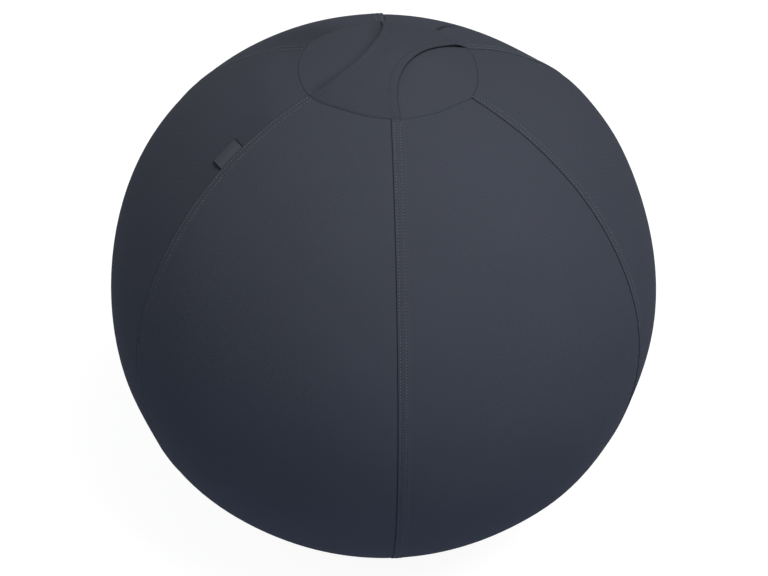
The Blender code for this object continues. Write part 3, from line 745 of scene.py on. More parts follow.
def panel_rows():
    """Polar angles of the rows, and how much each follows the patch seam's corners."""
    edge = EDGE_STEPS / BALL_RADIUS
    top, bottom = PATCH_POLAR + edge[-1], BASE_POLAR - edge[-1]
    middle = np.linspace(top, bottom, PANEL_ROWS)[1:-1]
    polar = np.concatenate([PATCH_POLAR + edge, middle, BASE_POLAR - edge[::-1]])
    follow = 1 - np.clip((polar - top) / (bottom - top), 0, 1)
    return polar[:, None], follow[:, None]


def follow_patch(polar, follow, azimuth):
    """Polar angle shifted so that the panel's top follows the patch's corners."""
    return polar + follow * (np.arcsin(patch_radius(azimuth) / BALL_RADIUS) - PATCH_POLAR)


def panel_columns(number, polar, around):
    """Azimuths across a panel, and each place's distance from its two edges and its middle."""
    start, stop = seam_azimuth(number, polar), seam_azimuth(number + 1, polar)
    gaps = zip_gap(polar, number), zip_gap(polar, number + 1)
    near_side = start + (gaps[0] + LAP_STEPS) / around
    far_side = stop - (gaps[1] + TUCK_STEPS) / around
    share = np.linspace(0, 1, PANEL_COLUMNS)[1:-1]
    if number == CREASE_PANEL:
        share = np.sort(np.concatenate([share, CREASE_COLUMNS]))
    between = near_side[:, -1:] + (far_side[:, :1] - near_side[:, -1:]) * share
    azimuth = np.concatenate([near_side, between, far_side], axis=1)
    near = (azimuth - start) * around - gaps[0]
    far = (stop - azimuth) * around - gaps[1]
    return azimuth, near, far, (azimuth - (start + stop) / 2) * around


def cloth_faces(polar, azimuth, lift):
    """The outer and the inner face of the cover's cloth."""
    return cover_point(polar, azimuth, lift), cover_point(polar, azimuth, np.minimum(lift, 0) - CLOTH)


print("rows of a panel:", len(panel_rows()[0]))


# %% Build the panels
def make_panel(number):
    """One panel: azimuths across, polar angles down, and heights from the distances to its edges."""
    polar, follow = panel_rows()
    around = BALL_RADIUS * np.sin(polar)
    azimuth, near, far, aside = panel_columns(number, polar, around)
    from_top = (polar - PATCH_POLAR) * BALL_RADIUS
    ends = np.minimum(from_top, (BASE_POLAR - polar) * BALL_RADIUS)
    crease = crease_share(azimuth, around, from_top)
    slack = slack_share(azimuth, around, from_top, SLACK_EDGE)
    lift = panel_height(near, far, ends, polar * BALL_RADIUS) + ride_height(number, near, polar)
    lift = lift - CREASE_DEPTH * crease - SLACK_DEPTH * slack
    # Painted shade: along the crease, on the slack cloth and beside the left panel's far seam.
    pull_and_painted_shade = CREASE_SHADE * crease**2 + painted_side_shade(number, far, from_top)
    pull_and_painted_shade = pull_and_painted_shade + SLACK_SHADE * slack_share(azimuth, around, from_top, SLACK_SHADE_EDGE)
    shade = np.maximum(seam_shade(near, far, ends, number), pull_and_painted_shade)
    outer, inner = cloth_faces(follow_patch(polar, follow, azimuth), azimuth, lift)
    grain = np.stack([aside, polar * BALL_RADIUS + 0 * azimuth], axis=-1)
    return sheet_mesh(f"panel_{number + 1}", outer, inner, grain, shade)


for number in range(PANEL_COUNT):
    panel = add_cover_piece(make_panel(number), "slate_cloth", f"cover_panel_{number + 1}")

# %% [markdown]
# ## The crown patch
# A round patch, slightly six-cornered because the seams pull on it, closes the panels at the
# top. It is joined by a plain seam without topstitching, so its rim just rolls inwards. Rings
# of points from the middle to the rim make it, with the rings closest together at the seam.
# The hand strap that lies across it pulls the cloth up along its left edge, and a soft shade is
# painted beside it. So the strap's outline is needed first: a waist in the middle, and ends that
# follow the patch seam between two azimuths each.

# %% Outline of the strap
STRAP_WAIST = 0.050
STRAP_EDGE_ARC = 0.161
STRAP_ENDS = {"front": (-59.0, 5.5), "rear": (183.0, 117.0)}
STRAP_LEAN = {"front": -12 * MM, "rear": 12 * MM}
WAIST_SHIFT = 2.5 * MM
STRAP_AZIMUTH = math.radians(-29)
forward = about_axis(1.0, STRAP_AZIMUTH)
sideways = np.array([-forward[1], forward[0]])


def strap_bow(reach):
    return STRAP_EDGE_ARC - np.sqrt(STRAP_EDGE_ARC**2 - reach**2)


def strap_places(length, across, end):
    """Places seen from above: the waist at 0, the patch seam at 1. The left edge leans forward."""
    first, last = np.radians(STRAP_ENDS[end])
    azimuth = first + (last - first) * (across + 1) / 2
    rim = about_axis(patch_radius(azimuth), azimuth)
    left = (1 - across) / 2
    lean = STRAP_LEAN[end] * left
    bow = strap_bow(length * PATCH_RADIUS + lean) - strap_bow(lean)
    bow = bow / (strap_bow(PATCH_RADIUS + lean) - strap_bow(lean))
    waist = across * STRAP_WAIST / 2 + WAIST_SHIFT * left
    aside = waist + (rim @ sideways - waist) * bow
    return (length * (rim @ forward))[..., None] * forward + aside[..., None] * sideways


print("strap outline: waist", STRAP_WAIST, "metres, ends at azimuths", STRAP_ENDS)

# %% Pull of the strap's left edge
PULL_RISE = 2.6 * MM
PULL_REACH = 8.5 * MM
PULL_FADE = (0.55, 0.90)
# Painted shadow beside the strap's left edge, with less of it where the cloth is raised.
PULL_SHADE = 0.30
PULL_SHADE_FADE = (0.80, 1.00)
PULL_LIGHT = 0.15
pull_steps = np.linspace(0, 1, 51)
pull_edge = np.concatenate([strap_places(pull_steps, -1.0 + 0 * pull_steps, end) for end in STRAP_ENDS])


def strap_pull(place, fade):
    """A share from 0 to 1 near the strap's left edge, fading between two lengths: it sets the crown's rise
    and the painted shadow.
    """
    gap = np.hypot(*(place[..., axis, None] - pull_edge[:, axis] for axis in (0, 1)))
    share = np.tile(1 - ramp(pull_steps, *fade), len(STRAP_ENDS))
    return (share * bump(gap, PULL_REACH)).max(axis=-1)


print("left edge followed over", len(pull_edge), "points")

# %% Build the crown patch
PATCH_SIDES = 180
PATCH_RIM_STEPS = [88, 91.5, 94, 95.6, 96.7, 97.4, 97.9, 98.2, 98.5]
PATCH_STEPS = np.concatenate([np.linspace(3, 84, 28), PATCH_RIM_STEPS]) * MM


def make_crown_patch():
    """Rings out to the seam, each a share of the six-cornered rim."""
    azimuth = np.linspace(0, TURN, PATCH_SIDES, endpoint=False)[None, :]
    reach = patch_radius(azimuth) * (PATCH_STEPS / PATCH_RADIUS)[:, None]
    to_seam = (PATCH_RADIUS - PATCH_STEPS)[:, None]
    place = about_axis(reach, azimuth)
    pull_and_painted_shade = strap_pull(place, PULL_FADE)
    lift = roll_height(to_seam) + PULL_RISE * pull_and_painted_shade
    outer, inner = cloth_faces(np.arcsin(reach / BALL_RADIUS), azimuth, lift)
    # Painted shadow beside the strap's left edge, lighter where the raised cloth already shades itself, and
    # painted shade in the seam.
    shade = PULL_SHADE * strap_pull(place, PULL_SHADE_FADE) - PULL_LIGHT * pull_and_painted_shade
    shade = shade + SEAM_SHADE * bump(to_seam, SEAM_LINE)
    rings = np.concatenate([outer, inner[::-1]])
    poles = cover_point(0.0, 0.0), cover_point(0.0, 0.0, -CLOTH)
    return ring_mesh("crown_patch", rings, *poles, np.concatenate([shade, 0 * shade]))


crown_patch = add_cover_piece(make_crown_patch(), "slate_cloth", "top_patch")
print("crown patch:", len(crown_patch.data.polygons), "faces")

# %% [markdown]
# ## The hand strap
# The strap is a doubled band, waisted like an hourglass, whose wide ends are caught in the
# patch seam over one panel each. Its long edges are turned in and show as a faint ridge a
# thumb's width from the rim. When a hand lifts it, the middle rises and the ends stay sewn,
# so it is made in two halves, each from its waist to one sewn end.

# %% Thickness and rise of the strap
STRAP_PLIES = 1.5 * MM
STRAP_HEM = 8.5 * MM
HEM_RIDGE = 0.4 * MM
HEM_STEP = 0.6 * MM
END_THINNING = 0.55
END_REACH = 9 * MM
SEWN_THINNING = 0.2
SEWN_REACH = 1.2 * MM
STRAP_ARCH = 4.6 * MM
ARCH_ROUND = 0.25
ARCH_RIGHT = 0.75
STRAP_EDGE_LIFT = 1.4 * MM
EDGE_SLACK = 0.35
EDGE_SLACK_FROM = 0.45
EDGE_SLACK_FADE = 0.90
CORNER_SLACK = 1.05
CORNER_PLACE = 0.86
CORNER_REACH = 0.12


def strap_thickness(from_edge, to_seam):
    """Two plies, a hem along the edges, and less where the seam draws the end together."""
    hem = HEM_RIDGE * (1 - ramp(from_edge, STRAP_HEM - HEM_STEP, STRAP_HEM + HEM_STEP))
    thinned = END_THINNING * bump(to_seam, END_REACH) + SEWN_THINNING * bump(to_seam, SEWN_REACH)
    return (STRAP_PLIES + hem) * (1 - thinned)


def strap_rise(length, across, place, end):
    """The arch, lower on the right, with the right edge slack and the left one drawn up."""
    arch = STRAP_ARCH * (1 - length**2) ** 2
    arch = arch * (1 - ARCH_ROUND * across**2) * (1 - ARCH_RIGHT * ramp(across, 0, 1))
    corner = CORNER_SLACK * bump(length - CORNER_PLACE, CORNER_REACH) if end == "rear" else 0
    loose = ramp(across, EDGE_SLACK_FROM, 1) * (1 - ramp(length, EDGE_SLACK_FADE, 1))
    slack = loose * (EDGE_SLACK + corner)
    return arch + STRAP_EDGE_LIFT * slack + PULL_RISE * strap_pull(place, PULL_FADE)


def crown_height(place):
    """The crown's height under a place seen from above."""
    across = np.linalg.norm(place, axis=-1)
    return CENTRE.z + CROWN_RISE * np.sqrt(1 - (across / BALL_RADIUS) ** 2) - crown_dent(place)


print("strap thickness in mm, in its middle and at its hem:",
      [round(float(strap_thickness(spot, PATCH_RADIUS) / MM), 2) for spot in (STRAP_WAIST / 2, 0)])

# %% Painted shade of the strap
STRAP_SHADE = 0.07
STRAP_SEAM_SHADE = 0.35 * SEAM_SHADE
# Painted shadow along the right edge, half as dark along the left.
STRAP_EDGE_SHADE = 0.5
LEFT_EDGE_SHARE = 0.5
HEM_SHADE = 0.10
HEM_LINE = 0.7 * MM
STRAP_LINE = 0.6 * MM


def strap_shade(from_edge, to_seam, across):
    """A darker tone all over, and painted shade at the seam, along the hems and at the edges; the painted
    shadow along the right edge is darkest.
    """
    shade = STRAP_SHADE + STRAP_SEAM_SHADE * bump(to_seam, STRAP_LINE)
    shade = shade + HEM_SHADE * bump(from_edge - STRAP_HEM, HEM_LINE)
    return shade + STRAP_EDGE_SHADE * bump(from_edge, STRAP_LINE) * np.where(across > 0, 1, LEFT_EDGE_SHARE)


print("shade of the strap's left and right edge:",
      [round(float(strap_shade(0, PATCH_RADIUS, side)), 2) for side in (-1, 1)])

# %% Build the strap
STRAP_EDGE_ROUND = 1.5 * MM
EDGE_BLUNT = 0.02
STRAP_GAP = 0.3 * MM
SEWN_SINK = 0.35 * MM
STRAP_ROWS = 64
STRAP_END_STEPS = np.array([0, 0.4, 0.8, 1.3, 1.9, 2.7, 4, 6]) * MM
STRAP_EDGE_STEPS = np.array([0, 0.15, 0.4, 0.8, 1.3, 1.9, 2.8, 4.5, 6.5, 7.6, 8.2, 8.8, 9.6, 11]) * MM
STRAP_COLUMNS = 12


def strap_grid():
    """Rows from the waist to the seam, and columns crowded at the two edges and at the hems."""
    ends = 1 - STRAP_END_STEPS[::-1] / PATCH_RADIUS
    length = np.concatenate([np.linspace(0, ends[0], STRAP_ROWS), ends[1:]])
    side = 1 - STRAP_EDGE_STEPS / (STRAP_WAIST / 2)
    middle = np.linspace(-side[-1], side[-1], STRAP_COLUMNS)[1:-1]
    return length[:, None], np.concatenate([-side, middle, side[::-1]])[None, :]


def make_strap_half(name, end):
    """Half a strap, from its waist to one sewn end."""
    length, across = strap_grid()
    place = strap_places(length, across, end)
    half_width = np.linalg.norm(place[:, -1] - place[:, 0], axis=-1)[:, None] / 2
    from_edge = (1 - np.abs(across)) * half_width
    to_seam = (1 - length) * PATCH_RADIUS
    rounding = np.sqrt(1 - (1 - np.clip(from_edge / STRAP_EDGE_ROUND, EDGE_BLUNT, 1)) ** 2)
    thick = strap_thickness(from_edge, to_seam)
    low = STRAP_GAP - (STRAP_GAP + SEWN_SINK) * bump(to_seam, SEWN_REACH)
    middle = crown_height(place) + strap_rise(length, across, place, end) + low + thick / 2
    upper, lower = (np.concatenate([place, (middle + way * thick * rounding / 2)[..., None]], axis=-1)
                    for way in (1, -1))
    grain = place @ np.stack([sideways, forward], axis=-1)
    return sheet_mesh(name, upper, lower, grain, strap_shade(from_edge, to_seam, across))


for end, way in (("front", 1), ("rear", -1)):
    half = add_piece(make_strap_half(f"strap_{end}_half", end), finishes["slate_cloth"])
    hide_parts("carry_strap")
    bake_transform(half)
print("strap: two halves of", len(half.data.polygons), "faces")

# %% [markdown]
# ## Topstitching
# Two rows of stitches run down every lapped seam. Each stitch is a short sunken bar of thread,
# and between two of them a near-black bead is painted shade for the hole that the needle left.
# The thread is tighter on the lower half of the ball, so the stitches sink deeper into the cloth there.
# They could be drawn in the material, but real bars catch the light from every side, so a
# Geometry Nodes tree sets one bar on each point of a row. The points carry the seam's direction
# and the cover's normal, and the tree turns each bar to both.

# %% A tree that sets one shape on every point
SEED = 3


def seam_turn(tree):
    """A rotation that lays X along the seam and Z out of the cover."""
    turn = None
    for axis, attribute, pivot in (("X", "along", "AUTO"), ("Z", "out", "X")):
        named = {"Name": attribute}
        read = add_node(tree, "GeometryNodeInputNamedAttribute", named, data_type="FLOAT_VECTOR")
        inputs = {"Vector": read.outputs["Attribute"]}
        if turn is not None:
            inputs["Rotation"] = turn
        align = add_node(tree, "FunctionNodeAlignRotationToVector", inputs, axis=axis, pivot_axis=pivot)
        turn = align.outputs["Rotation"]
    return turn


def uneven_size(tree, given):
    """A random size about 1 for each shape."""
    uneven = add_node(tree, "FunctionNodeRandomValue", {"Seed": given["Seed"]}, data_type="FLOAT")
    ends = [socket for socket in uneven.inputs if socket.type == "VALUE"]
    for end, operation in zip(ends, ("SUBTRACT", "ADD")):
        feed(tree, end, sum_of(tree, operation, 1.0, given["Uneven"]))
    return next(socket for socket in uneven.outputs if socket.type == "VALUE")


def instance_tree(name, sizes, build_shape):
    """Named sizes, a seed and a finish go in, and one plain mesh of all the shapes comes out."""
    inputs = {"Geometry": "geometry", **dict.fromkeys(sizes, "number")}
    inputs.update({"Seed": "whole", "Finish": "material"})
    tree, given, made = new_group(name, inputs, {"Geometry": "geometry"}, "GeometryNodeTree")
    for socket in tree.interface.items_tree:
        if socket.name in sizes:
            socket.default_value = sizes[socket.name]
        elif socket.name == "Seed":
            socket.default_value = SEED
    shapes = add_node(tree, "GeometryNodeInstanceOnPoints", {
        "Points": given["Geometry"], "Instance": build_shape(tree, given),
        "Rotation": seam_turn(tree), "Scale": uneven_size(tree, given)}).outputs["Instances"]
    for step in ("RealizeInstances", "SetShadeSmooth", "SetMaterial"):
        node = add_node(tree, "GeometryNode" + step, {"Geometry": shapes})
        shapes = node.outputs["Geometry"]
    feed(tree, node.inputs["Material"], given["Finish"])
    feed(tree, made["Geometry"], shapes)
    return tree


# %% The stitching tree
BEAD_SIDES = 8
STITCH_RINGS = 5


def bead(tree, rings):
    """A small sphere, 1 across."""
    size = {"Segments": BEAD_SIDES, "Rings": rings, "Radius": 0.5}
    return add_node(tree, "GeometryNodeMeshUVSphere", size).outputs["Mesh"]


def sized_shape(tree, source, size, shift=(0.0, 0.0, 0.0)):
    """A primitive scaled and shifted by three sockets or numbers each."""
    scale, move = (add_node(tree, "ShaderNodeCombineXYZ", dict(enumerate(parts))).outputs[0]
                   for parts in (size, shift))
    inputs = {"Geometry": source, "Scale": scale, "Translation": move}
    return add_node(tree, "GeometryNodeTransform", inputs).outputs["Geometry"]


def stitch_shape(tree, given):
    """A bar of thread, X along the seam."""
    size = [given[f"Stitch {side}"] for side in ("Length", "Width", "Height")]
    return sized_shape(tree, bead(tree, STITCH_RINGS), size)


stitch_tree = instance_tree(
    "stitch_rows",
    {"Stitch Length": 2.3 * MM, "Stitch Width": 0.85 * MM, "Stitch Height": 0.7 * MM, "Uneven": 0.15},
    stitch_shape,
)
print("tree:", stitch_tree.name, "with", len(stitch_tree.nodes), "nodes")


# %% From a tree to a plain mesh
def realised(name, tree, places, along, out, **values):
    """Points with directions, run through a tree and turned into a plain mesh."""
    mesh = bpy.data.meshes.new(name)
    mesh.from_pydata(places.tolist(), [], [])
    for label, vectors in (("along", along), ("out", out)):
        attribute = mesh.attributes.new(label, "FLOAT_VECTOR", "POINT")
        attribute.data.foreach_set("vector", vectors.astype(np.float32).ravel())
    piece = bpy.data.objects.new(name, mesh)
    bpy.context.scene.collection.objects.link(piece)
    step = piece.modifiers.new(tree.name, "NODES")
    step.node_group = tree
    for item in tree.interface.items_tree:
        label = item.name.replace(" ", "_")
        if item.in_out == "INPUT" and label in values:
            step[item.identifier] = values[label]
    graph = bpy.context.evaluated_depsgraph_get()
    plain = bpy.data.meshes.new_from_object(piece.evaluated_get(graph), depsgraph=graph)
    piece.modifiers.clear()
    piece.data = plain
    bpy.data.meshes.remove(mesh)
    return piece


# %% Sew the seams
STITCH_PITCH = 3.4 * MM
RIDE_SINK = 0.25 * MM
TIGHT_SINK = 0.28 * MM
TIGHT_POLARS = {0: (60, 92), 5: (44, 72)}
ZIP_STITCH = 4.5 * MM
SEAM_START = PATCH_POLAR + PATCH_CORNER / BALL_RADIUS


def along_row(places):
    """Unit directions along a row of points."""
    step = np.gradient(places, axis=0)
    return step / np.linalg.norm(step, axis=1, keepdims=True)


def stitch_row(seam, row, first, last, side=1, shift=0.0):
    """Stitch places beside a seam, at a distance from the panel edge on one side of it."""
    step = STITCH_PITCH / BALL_RADIUS
    polar = np.arange(first + step * (1 + shift), last, step)
    aside = side * (zip_gap(polar, seam) + row)
    azimuth = seam_azimuth(seam, polar) + aside / (BALL_RADIUS * np.sin(polar))
    lift = lap_height(row) + ride_height(seam, row, polar) if side > 0 else tuck_height(row)
    tight = ramp(polar, *np.radians(TIGHT_POLARS.get(seam, TIGHT_POLARS[0])))
    sink = RIDE_SINK * ride_share(seam, polar) + TIGHT_SINK * tight
    lift = lift + puckers(polar * BALL_RADIUS, row) - sink
    places = cover_point(polar, azimuth, lift)
    return places, along_row(places), cover_normal(polar, azimuth)


def all_rows(shift):
    """Places, directions and normals of every row, joined."""
    rows = [stitch_row(seam, row, SEAM_START, BASE_POLAR, shift=shift)
            for seam in range(PANEL_COUNT) for row in STITCH_ROWS]
    rows.append(stitch_row(ZIP_SEAM, ZIP_STITCH, ZIP_TOP, ZIP_END, side=-1, shift=shift))
    return [np.concatenate(part) for part in zip(*rows)]


topstitching = realised("topstitching", stitch_tree, *all_rows(0.0), Finish=finishes["thread"])
# Near-black beads between the stitches: painted shade in the needle holes.
needle_holes = realised("needle_holes", stitch_tree, *all_rows(0.5), Finish=finishes["seam_thread"],
                        Stitch_Length=1.2 * MM, Stitch_Width=0.9 * MM, Stitch_Height=0.45 * MM)
for piece in (topstitching, needle_holes):
    stand_for(piece, "cover", "slate_cloth")
    print(piece.name, len(piece.data.polygons), "faces")

# %% [markdown]
# ## The side label
# A short ribbon, folded double and caught in the left front seam, stands a little off the
# cover with its two ends open. It is bare here. The fold is a profile of two plies joined by
# a half circle, drawn along the seam, with the upper ply bowed so that its ends stand open.
# Its two ends are darker, over a narrow band.

# %% Profile of the label
LABEL_LENGTH = 0.034
LABEL_WIDTH = 0.016
LABEL_PLY = 0.5 * MM
LABEL_FOLD = 0.75 * MM
LABEL_BOW = 0.8 * MM
LABEL_ROOT = 0.6 * MM
LABEL_OPENING = (-1.5 * MM, 6 * MM)
ROOT_LOW = 0.5
ROOT_HIGH = 0.3
LABEL_COLUMNS = 16
FOLD_STEPS = 9


def label_profile(offset):
    """The folded ribbon seen from its end, offset from the middle of its ply. Its root lies low."""
    reach = LABEL_WIDTH - LABEL_FOLD
    flat = np.linspace(-LABEL_ROOT, reach, LABEL_COLUMNS)
    parted = ramp(flat, *LABEL_OPENING)
    bow = LABEL_BOW * np.sin(math.pi * np.clip(flat, 0, None) / reach) ** 2
    turn = np.linspace(-math.pi / 2, math.pi / 2, FOLD_STEPS)[1:-1]
    radius = LABEL_FOLD + offset
    lower = np.stack([flat, -LABEL_FOLD * (parted + ROOT_LOW * (1 - parted)) - offset], axis=-1)
    fold = np.stack([reach + radius * np.cos(turn), radius * np.sin(turn)], axis=-1)
    upper = np.stack([flat, bow + LABEL_FOLD * (parted - ROOT_HIGH * (1 - parted)) + offset], axis=-1)
    return np.concatenate([lower, fold, upper[::-1]])


print("label profile:", len(label_profile(0)), "points")

# %% Build the label
LABEL_SEAM = -1
LABEL_END_STEPS = np.array([0, 0.3, 0.6, 0.9, 1.2, 1.6, 2.2]) * MM
LABEL_MIDDLE = np.linspace(-0.8, 0.8, 17)
LABEL_END_DARKNESS = 0.9
LABEL_END_BAND = (0.7 * MM, 1.5 * MM)
hinge = np.array(joints["label_flip"]["pos_m"])
label_down = -np.array(joints["label_flip"]["axis"])
label_azimuth = LABEL_SEAM * PANEL_ANGLE
label_from_seam = np.array([-math.cos(label_azimuth), -math.sin(label_azimuth), 0.0])
label_out = np.cross(label_from_seam, label_down)
half_label = LABEL_LENGTH / 2
label_steps = np.concatenate([
    LABEL_END_STEPS - half_label, LABEL_MIDDLE * half_label, half_label - LABEL_END_STEPS[::-1]])


def label_grid(offset):
    """The profile along the label, curved to the ball."""
    profile = label_profile(offset)
    down = label_steps + 0 * profile[:, :1]
    across = profile[:, :1] + 0 * down
    rise = profile[:, 1:] - (down**2 + across**2) / (2 * BALL_RADIUS)
    return (hinge + across[..., None] * label_from_seam + down[..., None] * label_down
            + rise[..., None] * label_out)


ribbon = np.meshgrid(label_steps, np.linspace(0, 2 * LABEL_WIDTH, len(label_profile(0))))
# The label is darker over a narrow band at each end.
dark_label_ends = LABEL_END_DARKNESS * (1 - ramp(half_label - np.abs(ribbon[0]), *LABEL_END_BAND))
label = add_piece(sheet_mesh(
    "side_label_ribbon", label_grid(LABEL_PLY / 2), label_grid(-LABEL_PLY / 2),
    np.stack(ribbon, axis=-1), dark_label_ends), finishes["label_weave"])
stand_for(label, "label", "label_weave", "side_label")
print("label:", LABEL_LENGTH, "by", LABEL_WIDTH, "metres when folded")

# %% [markdown]
# ## The base
# Under the ball a second patch closes the panels. The ball settles on its flat middle. Inside,
# a rubber ring keeps the ball from rolling away, and a disc of lining holds the ring down.
# All three are turned shapes, so one helper spins their profiles.

# %% Build the base patch
BASE_SIDES = 144
BASE_FLAT_SHARES = (0.1, 0.3, 0.5, 0.7, 0.85)
BASE_SEAM_ZONE = 0.04
BASE_SEAM_STEPS = np.linspace(0.03, 0, 8)
BLEND_STEPS = 14
base_blend = np.linspace(0, BLEND_ANGLE - BASE_SEAM_ZONE, BLEND_STEPS)
base_angles = np.concatenate([base_blend, BLEND_ANGLE - BASE_SEAM_STEPS])
base_reach = BALL_RADIUS * math.sin(BASE_POLAR)


def point_at(centre, radius, angle):
    return (centre[0] + radius * math.cos(angle), centre[1] + radius * math.sin(angle))


def base_profile(depth):
    """The base patch from its middle out to the base seam, at a depth inside it."""
    centre = (FLOOR_FLAT_RADIUS, FLOOR_BLEND_RADIUS)
    profile = [(share * FLOOR_FLAT_RADIUS, depth) for share in BASE_FLAT_SHARES]
    for angle in base_angles:
        inside = depth + SEAM_ROLL * bump((BLEND_ANGLE - angle) * FLOOR_BLEND_RADIUS, SEAM_REACH)
        profile.append(point_at(centre, FLOOR_BLEND_RADIUS - inside, angle - math.pi / 2))
    return profile


base_rings = turned_rings(base_profile(0) + base_profile(CLOTH)[::-1], BASE_SIDES)
base_mesh = ring_mesh("base_patch", base_rings, (0, 0, 0), (0, 0, CLOTH))
base_patch = add_cover_piece(base_mesh, "slate_cloth", "bottom_patch")
print("base: flat", FLOOR_FLAT_RADIUS, "seam", round(base_reach, 4), "metres in radius")

# %% Build the ring
GAP = 0.3 * MM
RING_WIDTH = 0.016
RING_HEIGHT = 0.009
RING_CORNER = 3 * MM
RING_INSET = 3 * MM
HARD_EDGE = 40
ring_outer = FLOOR_FLAT_RADIUS - RING_INSET
ring_inner = ring_outer - RING_WIDTH
ring_low = CLOTH + GAP
shoulder = ring_low + RING_HEIGHT - RING_CORNER


def arc(centre, radius, start, end, steps):
    """Points round a centre between two angles, in quarter turns."""
    angles = np.linspace(start, end, steps + 1) * math.pi / 2
    return [point_at(centre, radius, angle) for angle in angles]


ring_profile = [
    (ring_inner, ring_low), (ring_outer, ring_low),
    *arc((ring_outer - RING_CORNER, shoulder), RING_CORNER, 0, 1, 8),
    *arc((ring_inner + RING_CORNER, shoulder), RING_CORNER, 1, 2, 8)]
ring_shape = ring_mesh("weight_ring", turned_rings(ring_profile, BASE_SIDES), sharp=HARD_EDGE)
weight_ring = add_cover_piece(ring_shape, "ring_rubber", "base_ring")
print("ring:", ring_inner, "to", ring_outer, "metres in radius")

# %% Build the lining
LINING = 0.8 * MM
LINING_HEM = 0.010
LINING_SAG = 1.5 * MM
LINING_START = 6 * MM
lining_low = ring_low + RING_HEIGHT + GAP
lining_edge = base_reach - LINING_HEM
seat = FLOOR_BLEND_RADIUS - CLOTH
edge_low = FLOOR_BLEND_RADIUS - math.sqrt(seat**2 - (lining_edge - FLOOR_FLAT_RADIUS) ** 2) + GAP
lining_spots = np.concatenate([
    np.linspace(LINING_START, FLOOR_FLAT_RADIUS, 14), np.linspace(FLOOR_FLAT_RADIUS, lining_edge, 8)[1:]])


def lining_profile(lift):
    """Over the ring, with a soft sag inside it and a slope down to the hem."""
    sag = LINING_SAG * (1 - ramp(lining_spots, 0, ring_inner))
    slope = (edge_low - lining_low) * ramp(lining_spots, ring_outer, lining_edge)
    return list(zip(lining_spots, lining_low + lift - sag + slope))


lining_rings = turned_rings(lining_profile(LINING) + lining_profile(0)[::-1], BASE_SIDES)
lining_middle = lining_low - LINING_SAG
lining_mesh = ring_mesh("ring_lining", lining_rings, (0, 0, lining_middle + LINING), (0, 0, lining_middle))
lining = add_cover_piece(lining_mesh, "lining_cloth", "base_lining")
print("lining:", len(lining.data.polygons), "faces, hem at", round(lining_edge, 4), "metres")

# %% [markdown]
# ## The zip
# The rear seam opens for the bladder. Two woven tapes lie under the panel edges, with rows of
# moulded teeth that mesh in the middle. When the slider goes down the two halves part, so each
# half is a piece of its own down to where the slider stops. The last stretch, which the slider
# itself covers at the end of its way, stays closed and is made as pieces of its own.

# %% Places along the zip
TAPE_REACH = 0.008
TAPE_THICKNESS = 0.6 * MM
TAPE_DEPTH = 3.2 * MM
CHAIN_HEIGHT = 2.2 * MM
CHAIN_INSET = 3.3 * MM
SLIDER_START = 5.8 * MM
SLIDER_COVERS = 6.2 * MM
tape_level = BALL_RADIUS - TAPE_DEPTH
chain_low = tape_level + GAP
tape_overlap = TAPE_REACH / BALL_RADIUS
chain_start = ZIP_TOP + (ZIP_END_TAPER + CHAIN_INSET) / BALL_RADIUS
chain_end = ZIP_END - (ZIP_END_TAPER + CHAIN_INSET) / BALL_RADIUS
slider_travel = math.radians(joints["zip_travel"]["range_deg"][1])
slider_polar = chain_start + SLIDER_START / BALL_RADIUS
parting = slider_polar + slider_travel - SLIDER_COVERS / BALL_RADIUS


def zip_point(across, polar, level):
    """Points on the rear meridian, at a level from the ball's centre."""
    out = np.sqrt(level**2 - across**2)
    return np.stack([across + 0 * out, out * np.sin(polar), CENTRE.z + out * np.cos(polar)], axis=-1)


def zip_sheet(name, across, polar, high, low):
    """A strip across the zip between two levels."""
    across, polar = np.broadcast_arrays(across, polar)
    grain = np.stack([across, polar * BALL_RADIUS], axis=-1)
    return sheet_mesh(name, zip_point(across, polar, high), zip_point(across, polar, low), grain)


print("zip: chain from", round(math.degrees(chain_start), 1), "to", round(math.degrees(chain_end), 1),
      "degrees, parting down to", round(math.degrees(parting), 1))

# %% Zip tapes
TAPE_STEPS = np.array([0.4, 0.7, 1.2, 2.5, 4.5, 5.2, 7, 9, 12, 15, 17])[None, :] * MM
TAPE_ROWS = 120
RIB_RISE = 0.35 * MM
RIB_PLACE = 4.9 * MM
RIB_REACH = 0.7 * MM


def make_tape(name, side, first, last, *cad_nodes):
    """A tape with a rib where its teeth end, from one polar angle to another."""
    polar = np.linspace(first, last, TAPE_ROWS)[:, None]
    rib = RIB_RISE * bump(TAPE_STEPS - RIB_PLACE, RIB_REACH)
    mesh = zip_sheet(name, side * TAPE_STEPS, polar, tape_level + rib, tape_level - TAPE_THICKNESS)
    tape = add_cover_piece(mesh, "zip_tape", *cad_nodes)
    return tape


# %% [markdown]
# A tooth is a flat block with a round head. A second small tree joins the two and sets one on
# each point, so both rows, and the short closed stretch at the bottom, come from the same tree.

# %% Zip teeth
TOOTH_PITCH = 2.8 * MM
TOOTH_MIDDLE = 2.1 * MM
HEAD_RINGS = 4
HALF_TOOTH = 0.62
BLOCK_SHIFT = -0.19
HEAD_SHIFT = 0.2
HEAD_SWELL = 1.15


